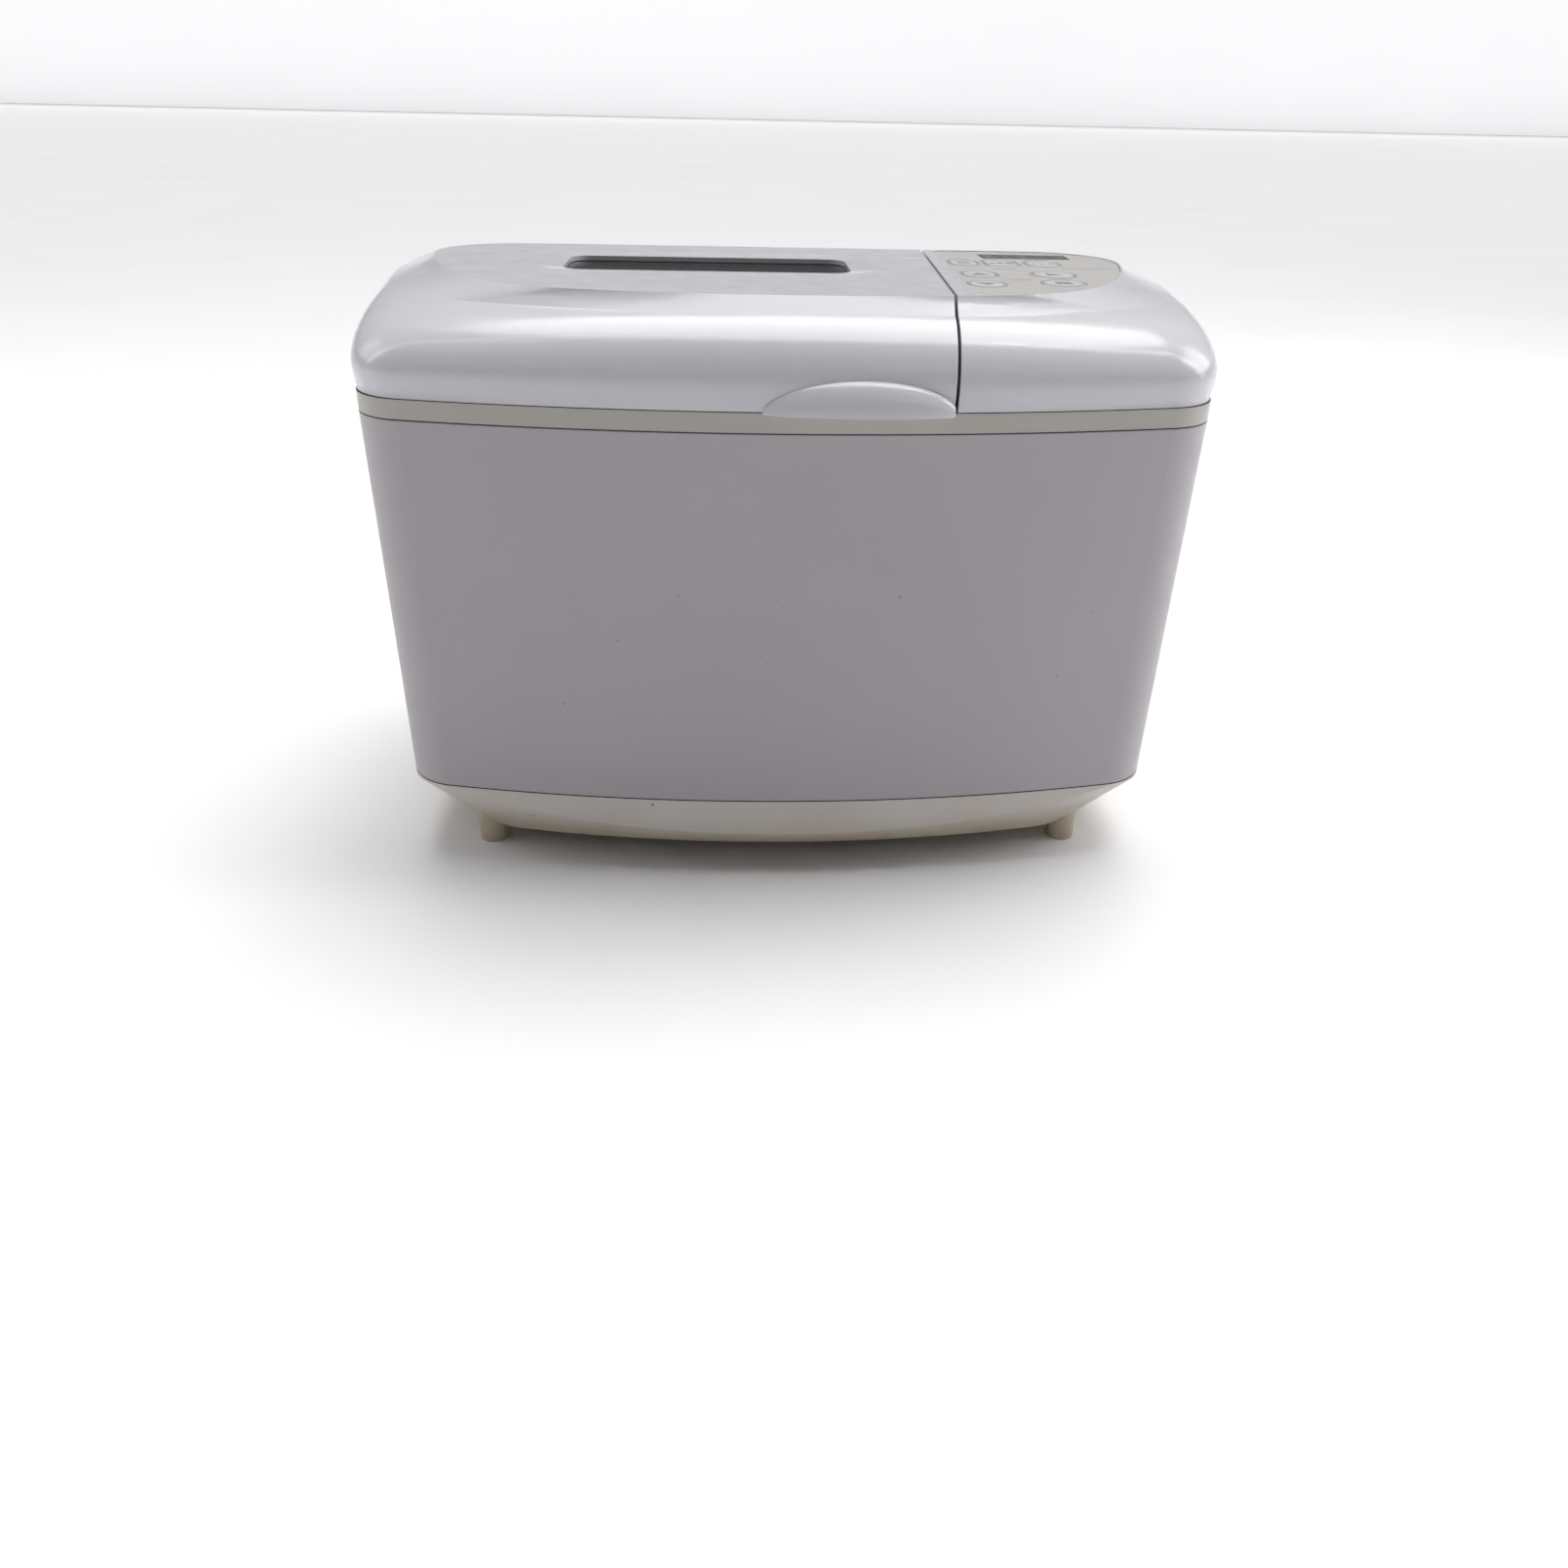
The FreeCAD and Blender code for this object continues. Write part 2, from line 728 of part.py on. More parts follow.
def make_top_collar():
    """Cream collar round the top of the casing, with the deck that carries the chamber."""
    wall = size("shell_wall")
    low, high = size("collar_bottom"), size("collar_top")
    ring_values = outline_values("collar")
    ring = skin([(ring_values, low), (ring_values, high)])
    ring = ring.cut(skin([(inset(ring_values, wall), low), (inset(ring_values, wall), high)]))
    deck_low, deck_high = size("deck_level"), size("deck_level") + size("deck_thickness")
    deck = skin([(inset(ring_values, wall / 2), deck_low), (inset(ring_values, wall / 2), deck_high)])
    opening = rounded_prism(
        size("chamber_width") - 4, size("chamber_depth") - 4, size("chamber_corner") - 2,
        size("chamber_x"), 0, low - 10, high + 10,
    )
    tongue_foot = low - size("tongue_height")
    tongue_outer = inset(casing_values(tongue_foot), wall + 0.2)
    tongue_inner = inset(tongue_outer, size("tongue_wall"))
    tongue = skin([(tongue_outer, tongue_foot), (tongue_outer, deck_low + 0.5)])
    tongue = tongue.cut(skin([(tongue_inner, tongue_foot), (tongue_inner, deck_low + 0.5)]))
    rim_low = deck_high - 0.5
    rim = rounded_prism(
        size("chamber_width") + 4, size("chamber_depth") + 4, size("chamber_corner") + 2,
        size("chamber_x"), 0, rim_low, high - 1.2,
    )
    duct = block((100, -30, low - 10), (160, 30, high + 5))
    return ring.fuse([deck, tongue, rim]).cut([opening, duct])


def window_outline(margin, level):
    return rounded_rectangle(
        size("window_width") + 2 * margin, size("window_depth") + 2 * margin,
        size("window_corner") + margin, size("window_centre_x"), size("window_centre_y"), level,
    )


def window_funnel(margin, top):
    """Solid of the window's recess: a flared surround above an upright well."""
    throat = top - size("well_depth")
    flare = Part.makeLoft(
        [window_outline(margin, throat), window_outline(margin + size("well_margin"), top)], True, True
    )
    return flare


def thumb_lip():
    """Half-moon thumb lip on the lid's front, swept out from the skirt and closed underneath."""
    x, half = size("lip_centre_x"), size("lip_half_width")
    bottom = size("lid_bottom") - 1.0
    front = -size("lid_reach") + x**2 / (2 * size("front_bow_radius"))
    bulge, height = size("lip_bulge"), size("lip_height")
    ball = Part.makeSphere(1.0)
    stretch = FreeCAD.Matrix()
    stretch.scale(half, bulge + 1.5, height)
    body = ball.transformGeometry(stretch)
    body.translate(Vector(x, front + 1.5, bottom))
    keep = block((x - half - 1, front - 30, bottom), (x + half + 1, front + 6, bottom + height + 1))
    clear_of_collar = skin(
        [
            (inset(outline_values("collar"), -0.5), 0),
            (inset(outline_values("collar"), -0.5), size("lid_bottom")),
        ]
    )
    return body.common(keep).cut(clear_of_collar)


def hinge_positions():
    return [size("hinge_centre_x") - size("hinge_spread"), size("hinge_centre_x") + size("hinge_spread")]


def lug_zones(extra):
    """Room round the two hinges, for the notches in the lid's rear wall."""
    width = size("knuckle_length") / 2 + size("lug_gap") + size("lug_length") + extra
    low, high = size("lid_bottom") - 5, size("hinge_z") + size("hinge_barrel") + 3.2
    return [
        block((x - width, size("hinge_y") - 9, low), (x + width, REACH, high))
        for x in hinge_positions()
    ]


def make_lid_shell():
    """Lid over the baking chamber: domed shell with window well, vent slot and thumb lip."""
    wall = size("shell_wall")
    gap = size("split_gap") / 2
    outer = dome()
    inner = dome(wall, 5.0)
    shell = outer.common(split_half(-1, gap))
    hollow = inner.common(split_half(-1, gap + wall))
    shell = shell.cut(hollow)
    top = size("plateau_level")
    well_floor = top - size("well_drop")
    funnel_wall = Part.makeLoft(
        [
            window_outline(wall, top - size("well_depth") - wall),
            window_outline(size("well_margin") + wall, top),
        ], True, True
    )
    throat_wall = Part.Face(window_outline(wall, well_floor)).extrude(Vector(0, 0, size("well_drop") - 1))
    shell = shell.fuse([funnel_wall, throat_wall, thumb_lip().common(split_half(-1, gap))])
    throat = Part.Face(window_outline(0, well_floor - 5)).extrude(Vector(0, 0, 30))
    vent = rounded_prism(
        size("vent_width"), size("vent_depth"), 3.0, size(
            "window_centre_x"
        ), size("vent_centre_y"), top - 20, top + 5
    )
    rear = block((-REACH, 124.0, 200), (REACH, REACH, size("rear_relief")))
    return shell.cut([window_funnel(0, top + 0.001), throat, vent, rear] + lug_zones(1.0))


def make_control_housing():
    """Fixed housing of the controls, right of the lid, with openings for keys and display."""
    wall = size("shell_wall")
    gap = size("split_gap") / 2
    shell = dome().common(split_half(1, gap))
    hollow = dome(wall, 5.0).common(split_half(1, gap + wall))
    shell = shell.cut(hollow)
    recess = overlay_prism(-0.25, size("plateau_level") - size("overlay_recess"), size("plateau_level") + 5)
    holes = [key_prism(key, 2 * size("key_gap"), 290.0, 310.0) for key in KEYS]
    holes.append(display_prism(-1.5, 290.0, 310.0))
    return shell.cut([recess] + holes)


# ---------------------------------------------------------------- control panel

LENS_LOW = size("plateau_level") - size("overlay_recess")

# Each key: name, centre x, centre y, width, depth and corner radius.
KEYS = [
    ("select", 103.2, 37.0, 16.4, 26.0, 7.6),
    ("loaf_size", 124.6, 37.0, 19.0, 26.0, 3.0),
    ("bake_color", 148.2, 37.0, 19.2, 26.0, 8.6),
    ("timer_up", 103.7, -12.0, 18.8, 25.0, 9.2),
    ("timer_down", 101.0, -50.0, 18.8, 23.0, 9.2),
    ("start", 144.0, -10.0, 23.4, 25.0, 11.4),
    ("stop", 142.0, -43.0, 23.0, 23.0, 11.2),
]


def key_prism(key, growth, low, high):
    """Prism of one key's outline, grown by a gap all round."""
    x, y, width, depth, corner = key[1:]
    return rounded_prism(width + 2 * growth, depth + 2 * growth, corner + growth, x, y, low, high)


def display_prism(growth, low, high):
    width, depth = size("display_width"), size("display_depth")
    return rounded_prism(
        width + 2 * growth, depth + 2 * growth, 2.5, size("display_x"), size("display_y"), low, high
    )


def overlay_prism(margin, low, high):
    """Prism of the panel overlay: the plateau right of a strip beside the split."""
    values = inset(outline_values("plateau"), 1.4 + margin)
    plan = skin([(values, low), (values, high)])
    plan = plan.common(split_half(1, size("panel_strip") + margin))
    corners = [
        edge for edge in plan.Edges
        if abs(edge.tangentAt(edge.FirstParameter).z) > 0.99 and edge.CenterOfMass.x < 110
    ]
    return plan.makeFillet(size("overlay_corner"), corners)


def make_panel_overlay():
    low = LENS_LOW
    sheet_solid = overlay_prism(0.0, low, low + size("overlay_thickness"))
    holes = [key_prism(key, size("key_gap"), low - 1, low + 5) for key in KEYS]
    holes.append(display_prism(0.1, low - 1, low + 5))
    return sheet_solid.cut(holes)


def make_key(key):
    """One key cap with its stem; it stands a little proud of the overlay."""
    top = size("plateau_level") - size("overlay_recess") + size("overlay_thickness") + size("key_proud")
    cap = key_prism(key, 0, top - size("key_height"), top)
    edges = [e for e in cap.Edges if e.BoundBox.ZMin > top - 0.01]
    cap = cap.makeFillet(0.25, edges)
    switch_top = size("board_level") + size("board_thickness") + 4.3
    stem_low = switch_top + size("key_travel_room")
    stem = Part.makeCylinder(2.6, top - 1 - stem_low, Vector(key[1], key[2], stem_low))
    return cap.fuse(stem)


def make_control_board():
    """Circuit board under the panel with the display module, cut to the room in the housing."""
    plan = [(93, -62), (124, -62), (158, -40), (170, 0), (172, 40), (172, 80), (93, 80)]
    points = [Vector(x, y, size("board_level")) for x, y in plan]
    board = Part.Face(Part.makePolygon(points + points[:1])).extrude(Vector(0, 0, size("board_thickness")))
    module = display_prism(-3.0, size("board_level") + 1, LENS_LOW - 3.5)
    return board.fuse(module)


def make_key_switches():
    """One small push switch under each key."""
    low = size("board_level") + size("board_thickness")
    switches = []
    for key in KEYS:
        body = block((key[1] - 3, key[2] - 3, low), (key[1] + 3, key[2] + 3, low + 3.4))
        plunger = Part.makeCylinder(1.7, 4.3, Vector(key[1], key[2], low))
        switches.append(body.fuse(plunger))
    return Part.makeCompound(switches)


# ---------------------------------------------------------------- sweeps


def rounded_path(points, radii):
    """Wire of straight runs joined by tangent arcs, one radius for each inner point."""
    edges = []
    start = points[0]
    for before, corner, after, radius in zip(points, points[1:], points[2:], radii):
        first = (before - corner).normalize()
        second = (after - corner).normalize()
        half = acos(first.dot(second)) / 2
        run = radius / (sin(half) / cos(half))
        middle = corner + (first + second).normalize() * (radius / sin(half) - radius)
        enter, leave = corner + first * run, corner + second * run
        edges.append(Part.LineSegment(start, enter).toShape())
        edges.append(Part.Arc(enter, middle, leave).toShape())
        start = leave
    edges.append(Part.LineSegment(start, points[-1]).toShape())
    return Part.Wire(edges)


def rod(points, bends, radius):
    """Round rod along a path of straight runs and bends."""
    path = rounded_path([Vector(*p) for p in points], bends)
    direction = Vector(*points[1]) - Vector(*points[0])
    profile = Part.Wire(Part.makeCircle(radius, Vector(*points[0]), direction))
    return path.makePipeShell([profile], True, False)


def make_heating_element():
    """Sheathed element: one loop round the pan, its two ends out through the right wall."""
    x = size("chamber_x")
    a = size("chamber_width") / 2 - size("element_wall_gap")
    b = size("chamber_depth") / 2 - size("element_wall_gap")
    z = size("element_level")
    end, lead = x + size("chamber_width") / 2 + 13, 22.0
    route = [
        (end, -lead, z), (x + a, -lead, z), (x + a, -b, z), (x - a, -b, z),
        (x - a, b, z), (x + a, b, z), (x + a, lead, z), (end, lead, z),
    ]
    lead_bend, bend = size("lead_bend"), size("element_bend")
    return rod(route, [lead_bend, bend, bend, bend, bend, lead_bend], size("element_radius"))


def make_pan_handle():
    """Wire bail, folded back over the pan; its inturned ends are the pivots."""
    x, z = size("chamber_x"), size("handle_level")
    outer = size("ear_offset") + size("ear_thickness") + 2.6 + size("handle_wire")
    inner = size("ear_offset") - 1.2
    reach = size("handle_reach")
    route = [
        (x - inner, 0, z), (x - outer, 0, z), (x - outer, reach, z),
        (x + outer, reach, z), (x + outer, 0, z), (x + inner, 0, z),
    ]
    pivot_bend, bend = size("handle_wire") + 0.4, size("handle_bend")
    return rod(route, [pivot_bend, bend, bend, pivot_bend], size("handle_wire"))


def make_belt():
    """Flat ribbed belt round both pulleys, a hair clear of their faces."""
    low = size("pulley_bottom") + size("pulley_flange") + 0.4
    gap = size("belt_gap")
    height = size("belt_width") - 0.8
    return loop_solid(gap + size("belt_thickness"), low, height).cut(loop_solid(gap, low - 1, height + 2))


def loop_solid(growth, low, height):
    """Prism of the tangent loop round both pulleys, grown by a thickness."""
    big_x, small_x = size("chamber_x"), size("motor_x")
    big, small = size("drive_pulley_radius") + growth, size("motor_pulley_radius") + growth
    lean = acos((big - small) / (small_x - big_x))
    big_top = Vector(big_x + big * cos(lean), big * sin(lean), low)
    big_low = Vector(big_top.x, -big_top.y, low)
    small_top = Vector(small_x + small * cos(lean), small * sin(lean), low)
    small_low = Vector(small_top.x, -small_top.y, low)
    edges = [
        Part.Arc(big_top, Vector(big_x - big, 0, low), big_low).toShape(),
        Part.LineSegment(big_low, small_low).toShape(),
        Part.Arc(small_low, Vector(small_x + small, 0, low), small_top).toShape(),
        Part.LineSegment(small_top, big_top).toShape(),
    ]
    return Part.Face(Part.Wire(edges)).extrude(Vector(0, 0, height))


# ---------------------------------------------------------------- build: casing

register(shaped("body_shell_solid", make_body_shell()), "body_shell")
register(shaped("base_tray_solid", make_base_tray()), "base_tray")
register(shaped("feet_solids", make_feet()), "feet")
register(shaped("top_collar_solid", make_top_collar()), "top_collar")
register(shaped("lid_shell_solid", make_lid_shell()), "lid_shell")
register(shaped("control_housing_solid", make_control_housing()), "control_housing")
register(shaped("panel_overlay_solid", make_panel_overlay()), "panel_overlay")
register(shaped("control_board_solid", make_control_board()), "control_board")
register(shaped("key_switches_solids", make_key_switches()), "key_switches")
for key in KEYS:
    register(shaped(f"key_{key[0]}_solid", make_key(key)), f"key_{key[0]}")
register(shaped("heating_element_solid", make_heating_element()), "heating_element")
register(shaped("pan_handle_solid", make_pan_handle()), "pan_handle")
register(shaped("drive_belt_solid", make_belt()), "drive_belt")

# ---------------------------------------------------------------- build: lid parts and hinge

WINDOW = ("window_centre_x", "window_centre_y")
WELL_FLOOR = "plateau_level - well_drop"
glass_margin = 4.0
register(
    rounded_plate(
        "lid_window_body", f"window_width + {glass_margin}", f"window_depth + {glass_margin}",
        "window_corner + 2",
        "glass_thickness", *WINDOW, f"{WELL_FLOOR} - glass_thickness - 0.4",
    ),
    "lid_window",
)
register(
    rounded_ring(
        "window_gasket_body", f"window_width + {glass_margin} + 2 * (gasket_wall + 1.6)",
        f"window_depth + {glass_margin} + 2 * (gasket_wall + 1.6)", "window_corner + gasket_wall + 3.6",
        "gasket_wall + 1.6", "glass_thickness + 0.8", *WINDOW, f"{WELL_FLOOR} - glass_thickness - 1.0",
    ),
    "window_gasket",
)

LINER_LEVEL = "lid_bottom + 11.2"
liner_plate = rounded_plate(
    "liner_plate", "chamber_width + 24", "chamber_depth + 24", "chamber_corner - 4", "1.4", "chamber_x",
    "0", LINER_LEVEL,
)
liner_skirt = rounded_ring(
    "liner_skirt", "chamber_width - 12", "chamber_depth - 12", "chamber_corner - 6", "1.4", "14.0",
    "chamber_x", "0", f"{LINER_LEVEL} - 14.0",
)
liner_chimney = rounded_ring(
    "liner_chimney", "window_width + 2.8", "window_depth + 2.8", "window_corner + 1.4", "1.4",
    f"{WELL_FLOOR} - glass_thickness - 1.0 - ({LINER_LEVEL})", *WINDOW, LINER_LEVEL,
)
liner_opening = rounded_plate(
    "liner_opening", "window_width", "window_depth", "window_corner", "20", *WINDOW, f"{LINER_LEVEL} - 10"
)
liner = fuse("liner_joined", cut("liner_open", liner_plate, liner_opening), liner_skirt, liner_chimney)
register(liner, "lid_liner")

grille_frame = rounded_plate(
    "grille_frame", "vent_width - 0.6", "vent_depth - 0.6", "2.9", "2.4", "window_centre_x",
    "vent_centre_y",
    "plateau_level - vent_drop - 3.2",
)
grille_flange = rounded_plate(
    "grille_flange", "vent_width + 6", "vent_depth + 3", "4.5", "1.4", "window_centre_x", "vent_centre_y",
    "plateau_level - vent_drop - 4.6",
)
grille_slots = [
    box(
        f"grille_slot{k}", "5.6", "3.0", "12", f"window_centre_x + {(k - 5) * 7.8}", "vent_centre_y",
        "plateau_level - vent_drop - 9",
    )
    for k in range(11)
]
register(cut("grille", fuse("grille_blank", grille_frame, grille_flange), *grille_slots), "lid_vent_grille")

HINGES = {"left": "hinge_centre_x - hinge_spread", "right": "hinge_centre_x + hinge_spread"}
DECK_TOP = "deck_level + deck_thickness"
arms, pins, brackets, arm_screws = [], [], [], []
for side, x in HINGES.items():
    pin_reach = "(knuckle_length / 2 + lug_gap + lug_length + 1)"
    pins.append(
        cylinder(
            f"pin_{side}", "hinge_pin_radius", f"2 * {pin_reach}", f"{x} - {pin_reach}", "hinge_y",
            "hinge_z", ALONG_X,
        )
    )
    barrel = cylinder(
        f"barrel_{side}", "hinge_barrel", "knuckle_length", f"{x} - knuckle_length / 2", "hinge_y",
        "hinge_z", ALONG_X,
    )
    strap = box(f"strap_{side}", "12", "24", "3", x, "hinge_y - 12", "hinge_z + 0.9")
    bore = cylinder(
        f"barrel_bore_{side}", "hinge_pin_radius", "40", f"{x} - 20", "hinge_y", "hinge_z", ALONG_X
    )
    strap_hole = cylinder(
        f"strap_hole_{side}", "screw_radius + 0.02", "20", x, "hinge_y - 18", "hinge_z - 5"
    )
    arms.append(cut(f"arm_{side}", fuse(f"arm_blank_{side}", barrel, strap), bore, strap_hole))
    arm_screws.append(screw(f"arm_screw_{side}", x, "hinge_y - 18", "hinge_z + 0.9"))
    foot = box(f"bracket_foot_{side}", "knuckle_length + 20", "18", "2", x, "hinge_y - 12.5", DECK_TOP)
    lugs = [foot]
    for hand in (-1, 1):
        lug_x = f"{x} + {hand} * (knuckle_length / 2 + lug_gap + lug_length / 2)"
        lugs.append(
            box(
                f"lug_web_{side}{hand}", "lug_length", "9.2", f"hinge_z - ({DECK_TOP}) + hinge_barrel",
                lug_x, "hinge_y - 7.4", DECK_TOP,
            )
        )
        lugs.append(
            cylinder(
                f"lug_eye_{side}{hand}", "hinge_barrel", "lug_length", f"{lug_x} - lug_length / 2",
                "hinge_y", "hinge_z", ALONG_X,
            )
        )
    lug_bore = cylinder(
        f"lug_bore_{side}", "hinge_pin_radius + hinge_running_gap", "60", f"{x} - 30", "hinge_y", "hinge_z",
        ALONG_X,
    )
    brackets.append(cut(f"bracket_{side}", fuse(f"bracket_blank_{side}", *lugs), lug_bore))
register(group("hinge_pins_group", pins), "hinge_pins")
register(group("hinge_arms_group", arms), "lid_hinge_arms")
register(group("hinge_brackets_group", brackets), "hinge_brackets")
register(group("arm_screws_group", arm_screws), "lid_screws")

# ---------------------------------------------------------------- build: baking chamber

chamber = new_body("chamber_body")
chamber_size = ("chamber_width", "chamber_depth", "chamber_corner")
pad(
    chamber, "chamber_block",
    rounded_sketch(chamber, "chamber_plan", *chamber_size, "chamber_x", "0", "chamber_floor"),
    "chamber_top - chamber_floor",
)
flange_sketch = rounded_sketch(
    chamber, "chamber_flange_plan", "chamber_width + 2 * chamber_flange",
    "chamber_depth + 2 * chamber_flange",
    "chamber_corner + chamber_flange", "chamber_x", "0", "chamber_top - sheet_wall",
)
pad(chamber, "chamber_flange_pad", flange_sketch, "sheet_wall")
cavity_sketch = rounded_sketch(
    chamber, "chamber_cavity_plan", "chamber_width - 2 * sheet_wall", "chamber_depth - 2 * sheet_wall",
    "chamber_corner - sheet_wall", "chamber_x", "0", "chamber_top",
)
pocket_down(chamber, "chamber_cavity", cavity_sketch, "chamber_top - chamber_floor - sheet_wall")
WALL_X = "chamber_x + chamber_width / 2"
ELEMENT_LEADS = (-22, 22)
chamber_holes = [
    cylinder(
        f"lead_hole{k}", "6", "20", f"{WALL_X} - 10", y, "element_level", ALONG_X
    ) for k, y in enumerate(ELEMENT_LEADS)
]
chamber_holes.append(cylinder("bearing_hole", "12.5", "10", "chamber_x", "0", "chamber_floor - 5"))
chamber_holes.append(
    cylinder("sensor_hole", "2.5", "20", "chamber_x + 70", "chamber_depth / 2 - 10", "150", ALONG_Y)
)
register(cut("chamber_pierced", chamber, *chamber_holes), "oven_chamber")
insulators = [
    tube(
        f"insulator{k}", "6", "element_radius + 0.05", "10", f"{WALL_X} - 2.4", y, "element_level", ALONG_X
    )
    for k, y in enumerate(ELEMENT_LEADS)
]
register(group("insulators_group", insulators), "element_insulators")
probe = cylinder("probe", "2.4", "24", "chamber_x + 70", "chamber_depth / 2 - 12", "150", ALONG_Y)
probe_flange = cylinder("probe_flange", "6", "2", "chamber_x + 70", "chamber_depth / 2", "150", ALONG_Y)
register(fuse("sensor", probe, probe_flange), "temperature_sensor")
fuse_base = box("fuse_base", "2", "12", "20", f"{WALL_X} + 1", "52", "128")
fuse_can = cylinder("fuse_can", "3", "14", f"{WALL_X} + 4.6", "52", "131")
register(fuse("fuse_joined", fuse_base, fuse_can), "thermal_fuse")
CHAMBER_INSIDE = "chamber_floor + sheet_wall"
register(
    tube(
        "seat", "pan_foot_radius + 4", "pan_foot_radius + 0.4", "seat_height", "chamber_x", "0",
        CHAMBER_INSIDE,
    ), "pan_seat"
)
clips = []
for hand in (-1, 1):
    clip_x = f"chamber_x + {hand} * (pan_foot_radius + 7)"
    blade_x = f"chamber_x + {hand} * (pan_foot_radius + 5)"
    clip_foot = box(f"clip_foot{hand}", "5", "14", "1", clip_x, "0", CHAMBER_INSIDE)
    clip_blade = box(f"clip_blade{hand}", "1", "14", "14", blade_x, "0", CHAMBER_INSIDE)
    clips.append(fuse(f"clip{hand}", clip_foot, clip_blade))
register(group("clips_group", clips), "pan_clips")

# ---------------------------------------------------------------- build: bread pan

pan = new_body("pan_body")


def pan_sketch(name, drop, wall, level):
    """Pan outline inside a wall; drop is 1 at the bottom and 0 at the rim."""
    width = f"pan_width - {drop} * pan_draft - 2 * {wall}"
    depth = f"pan_depth - {drop} * pan_draft - 2 * {wall}"
    return rounded_sketch(
        pan, name, width, depth, f"pan_corner - {drop} * 3 - {wall}", "chamber_x", "0", level
    )


loft(pan, "pan_block", pan_sketch("pan_low", 1, 0, "pan_bottom"), pan_sketch("pan_high", 0, 0, "pan_rim"))
rim_sketch = rounded_sketch(
    pan, "pan_rim_plan", "pan_width + 2 * rim_lip", "pan_depth + 2 * rim_lip", "pan_corner + rim_lip",
    "chamber_x", "0",
    "pan_rim - 2",
)
pad(pan, "pan_rim_pad", rim_sketch, "2")
loft(
    pan, "pan_cavity", pan_sketch("pan_floor", 1, "pan_wall", "pan_bottom + pan_wall"),
    pan_sketch("pan_mouth", 0, "pan_wall", "pan_rim + 0.01"), "Subtractive",
)
register(
    cut("pan_pierced", pan, cylinder("pan_bore", "9", "20", "chamber_x", "0", "pan_bottom - 10")),
    "bread_pan",
)
register(
    tube(
        "pan_foot", "pan_foot_radius", "pan_foot_radius - 2", "pan_foot_height", "chamber_x", "0",
        "pan_bottom - pan_foot_height",
    ),
    "pan_base_ring",
)
BUSH_BORE = "shaft_radius + shaft_running_gap"
register(
    turned(
        "pan_bearing_body",
        [
            (BUSH_BORE, "pan_bottom - 2.2"), ("14", "pan_bottom - 2.2"), ("14", "pan_bottom"),
            ("9", "pan_bottom"),
            ("9", "pan_bottom + 8"), (BUSH_BORE, "pan_bottom + 8"),
        ],
        "chamber_x", "0",
    ),
    "pan_bearing",
)
ears, rivets = [], []
for hand in (-1, 1):
    upper_x = f"chamber_x + {hand} * (ear_offset + ear_thickness / 2)"
    lower_x = f"chamber_x + {hand} * (pan_width / 2 + ear_thickness / 2)"
    shelf = "ear_offset + ear_thickness - pan_width / 2"
    shelf_x = f"chamber_x + {hand} * (pan_width / 2 + ({shelf}) / 2)"
    eye = "handle_level - pan_rim + 5"
    ear = fuse(
        f"ear_blank{hand}",
        box(f"ear_upper{hand}", "ear_thickness", "15", f"9 + {eye}", upper_x, "0", "pan_rim - 9"),
        box(f"ear_shelf{hand}", shelf, "15", "ear_thickness", shelf_x, "0", "pan_rim - 9"),
        box(f"ear_lower{hand}", "ear_thickness", "15", "15", lower_x, "0", "pan_rim - 22.2"),
    )
    eye_bore = cylinder(
        f"ear_bore{hand}", "handle_wire + 0.08", "20", f"{upper_x} - 10", "0", "handle_level", ALONG_X
    )
    ears.append(cut(f"ear{hand}", ear, eye_bore))
    for y in (-4, 4):
        rivet_x = f"chamber_x + {hand} * (pan_width / 2 + ear_thickness + 0.6) - 0.6"
        rivets.append(cylinder(f"rivet{hand}{y}", "2.4", "1.2", rivet_x, y, "pan_rim - 16", ALONG_X))
register(group("ears_group", ears), "handle_ears")
register(group("rivets_group", rivets), "ear_rivets")

# ---------------------------------------------------------------- build: kneading drive

shaft = cylinder("pan_shaft_round", "shaft_radius", "37", "chamber_x", "0", "pan_bottom - 7")
flat = box("pan_shaft_flat", "4", "12", "30", "chamber_x + shaft_radius + 1", "0", "pan_bottom + 11")
register(cut("pan_shaft_cut", shaft, flat), "pan_shaft")


def coupler(name, disc_level, lug_level, turned_across):
    """Drive dog: a disc with two lugs that mesh with those of its partner."""
    disc = tube(f"{name}_disc", "coupler_radius", "shaft_radius", "4", "chamber_x", "0", disc_level)
    pieces = [disc]
    for hand in (-1, 1):
        offset = f"{hand} * (coupler_radius - 3.2)"
        x = "chamber_x" if turned_across else f"chamber_x + {offset}"
        y = offset if turned_across else "0"
        pieces.append(box(f"{name}_lug{hand}", "6", "6", "6", x, y, lug_level))
    return fuse(f"{name}_joined", *pieces)


register(coupler("lower", "pan_bottom - 17.5", "pan_bottom - 13.5", False), "lower_coupler")
register(coupler("upper", "pan_bottom - 7", "pan_bottom - 12.6", True), "upper_coupler")

hub = cone("paddle_hub", "8.6", "7", "18", "chamber_x", "0", "pan_bottom + 11.4")
blade = box(
    "paddle_blade", "paddle_length", "6", "paddle_height", "chamber_x + paddle_length / 2 + 3", "0",
    "pan_bottom + 11.4",
)
nose = cylinder(
    "paddle_nose", "3", "paddle_height", "chamber_x + paddle_length + 3", "0", "pan_bottom + 11.4"
)
paddle_bore = cylinder("paddle_round", "shaft_radius + 0.08", "60", "chamber_x", "0", "pan_bottom")
bore_flat = box("paddle_flat", "4", "12", "60", "chamber_x + shaft_radius + 1.08", "0", "pan_bottom")
register(
    cut(
        "paddle", fuse("paddle_blank", hub, blade, nose), cut("paddle_bore", paddle_bore, bore_flat)
    ), "kneading_paddle"
)

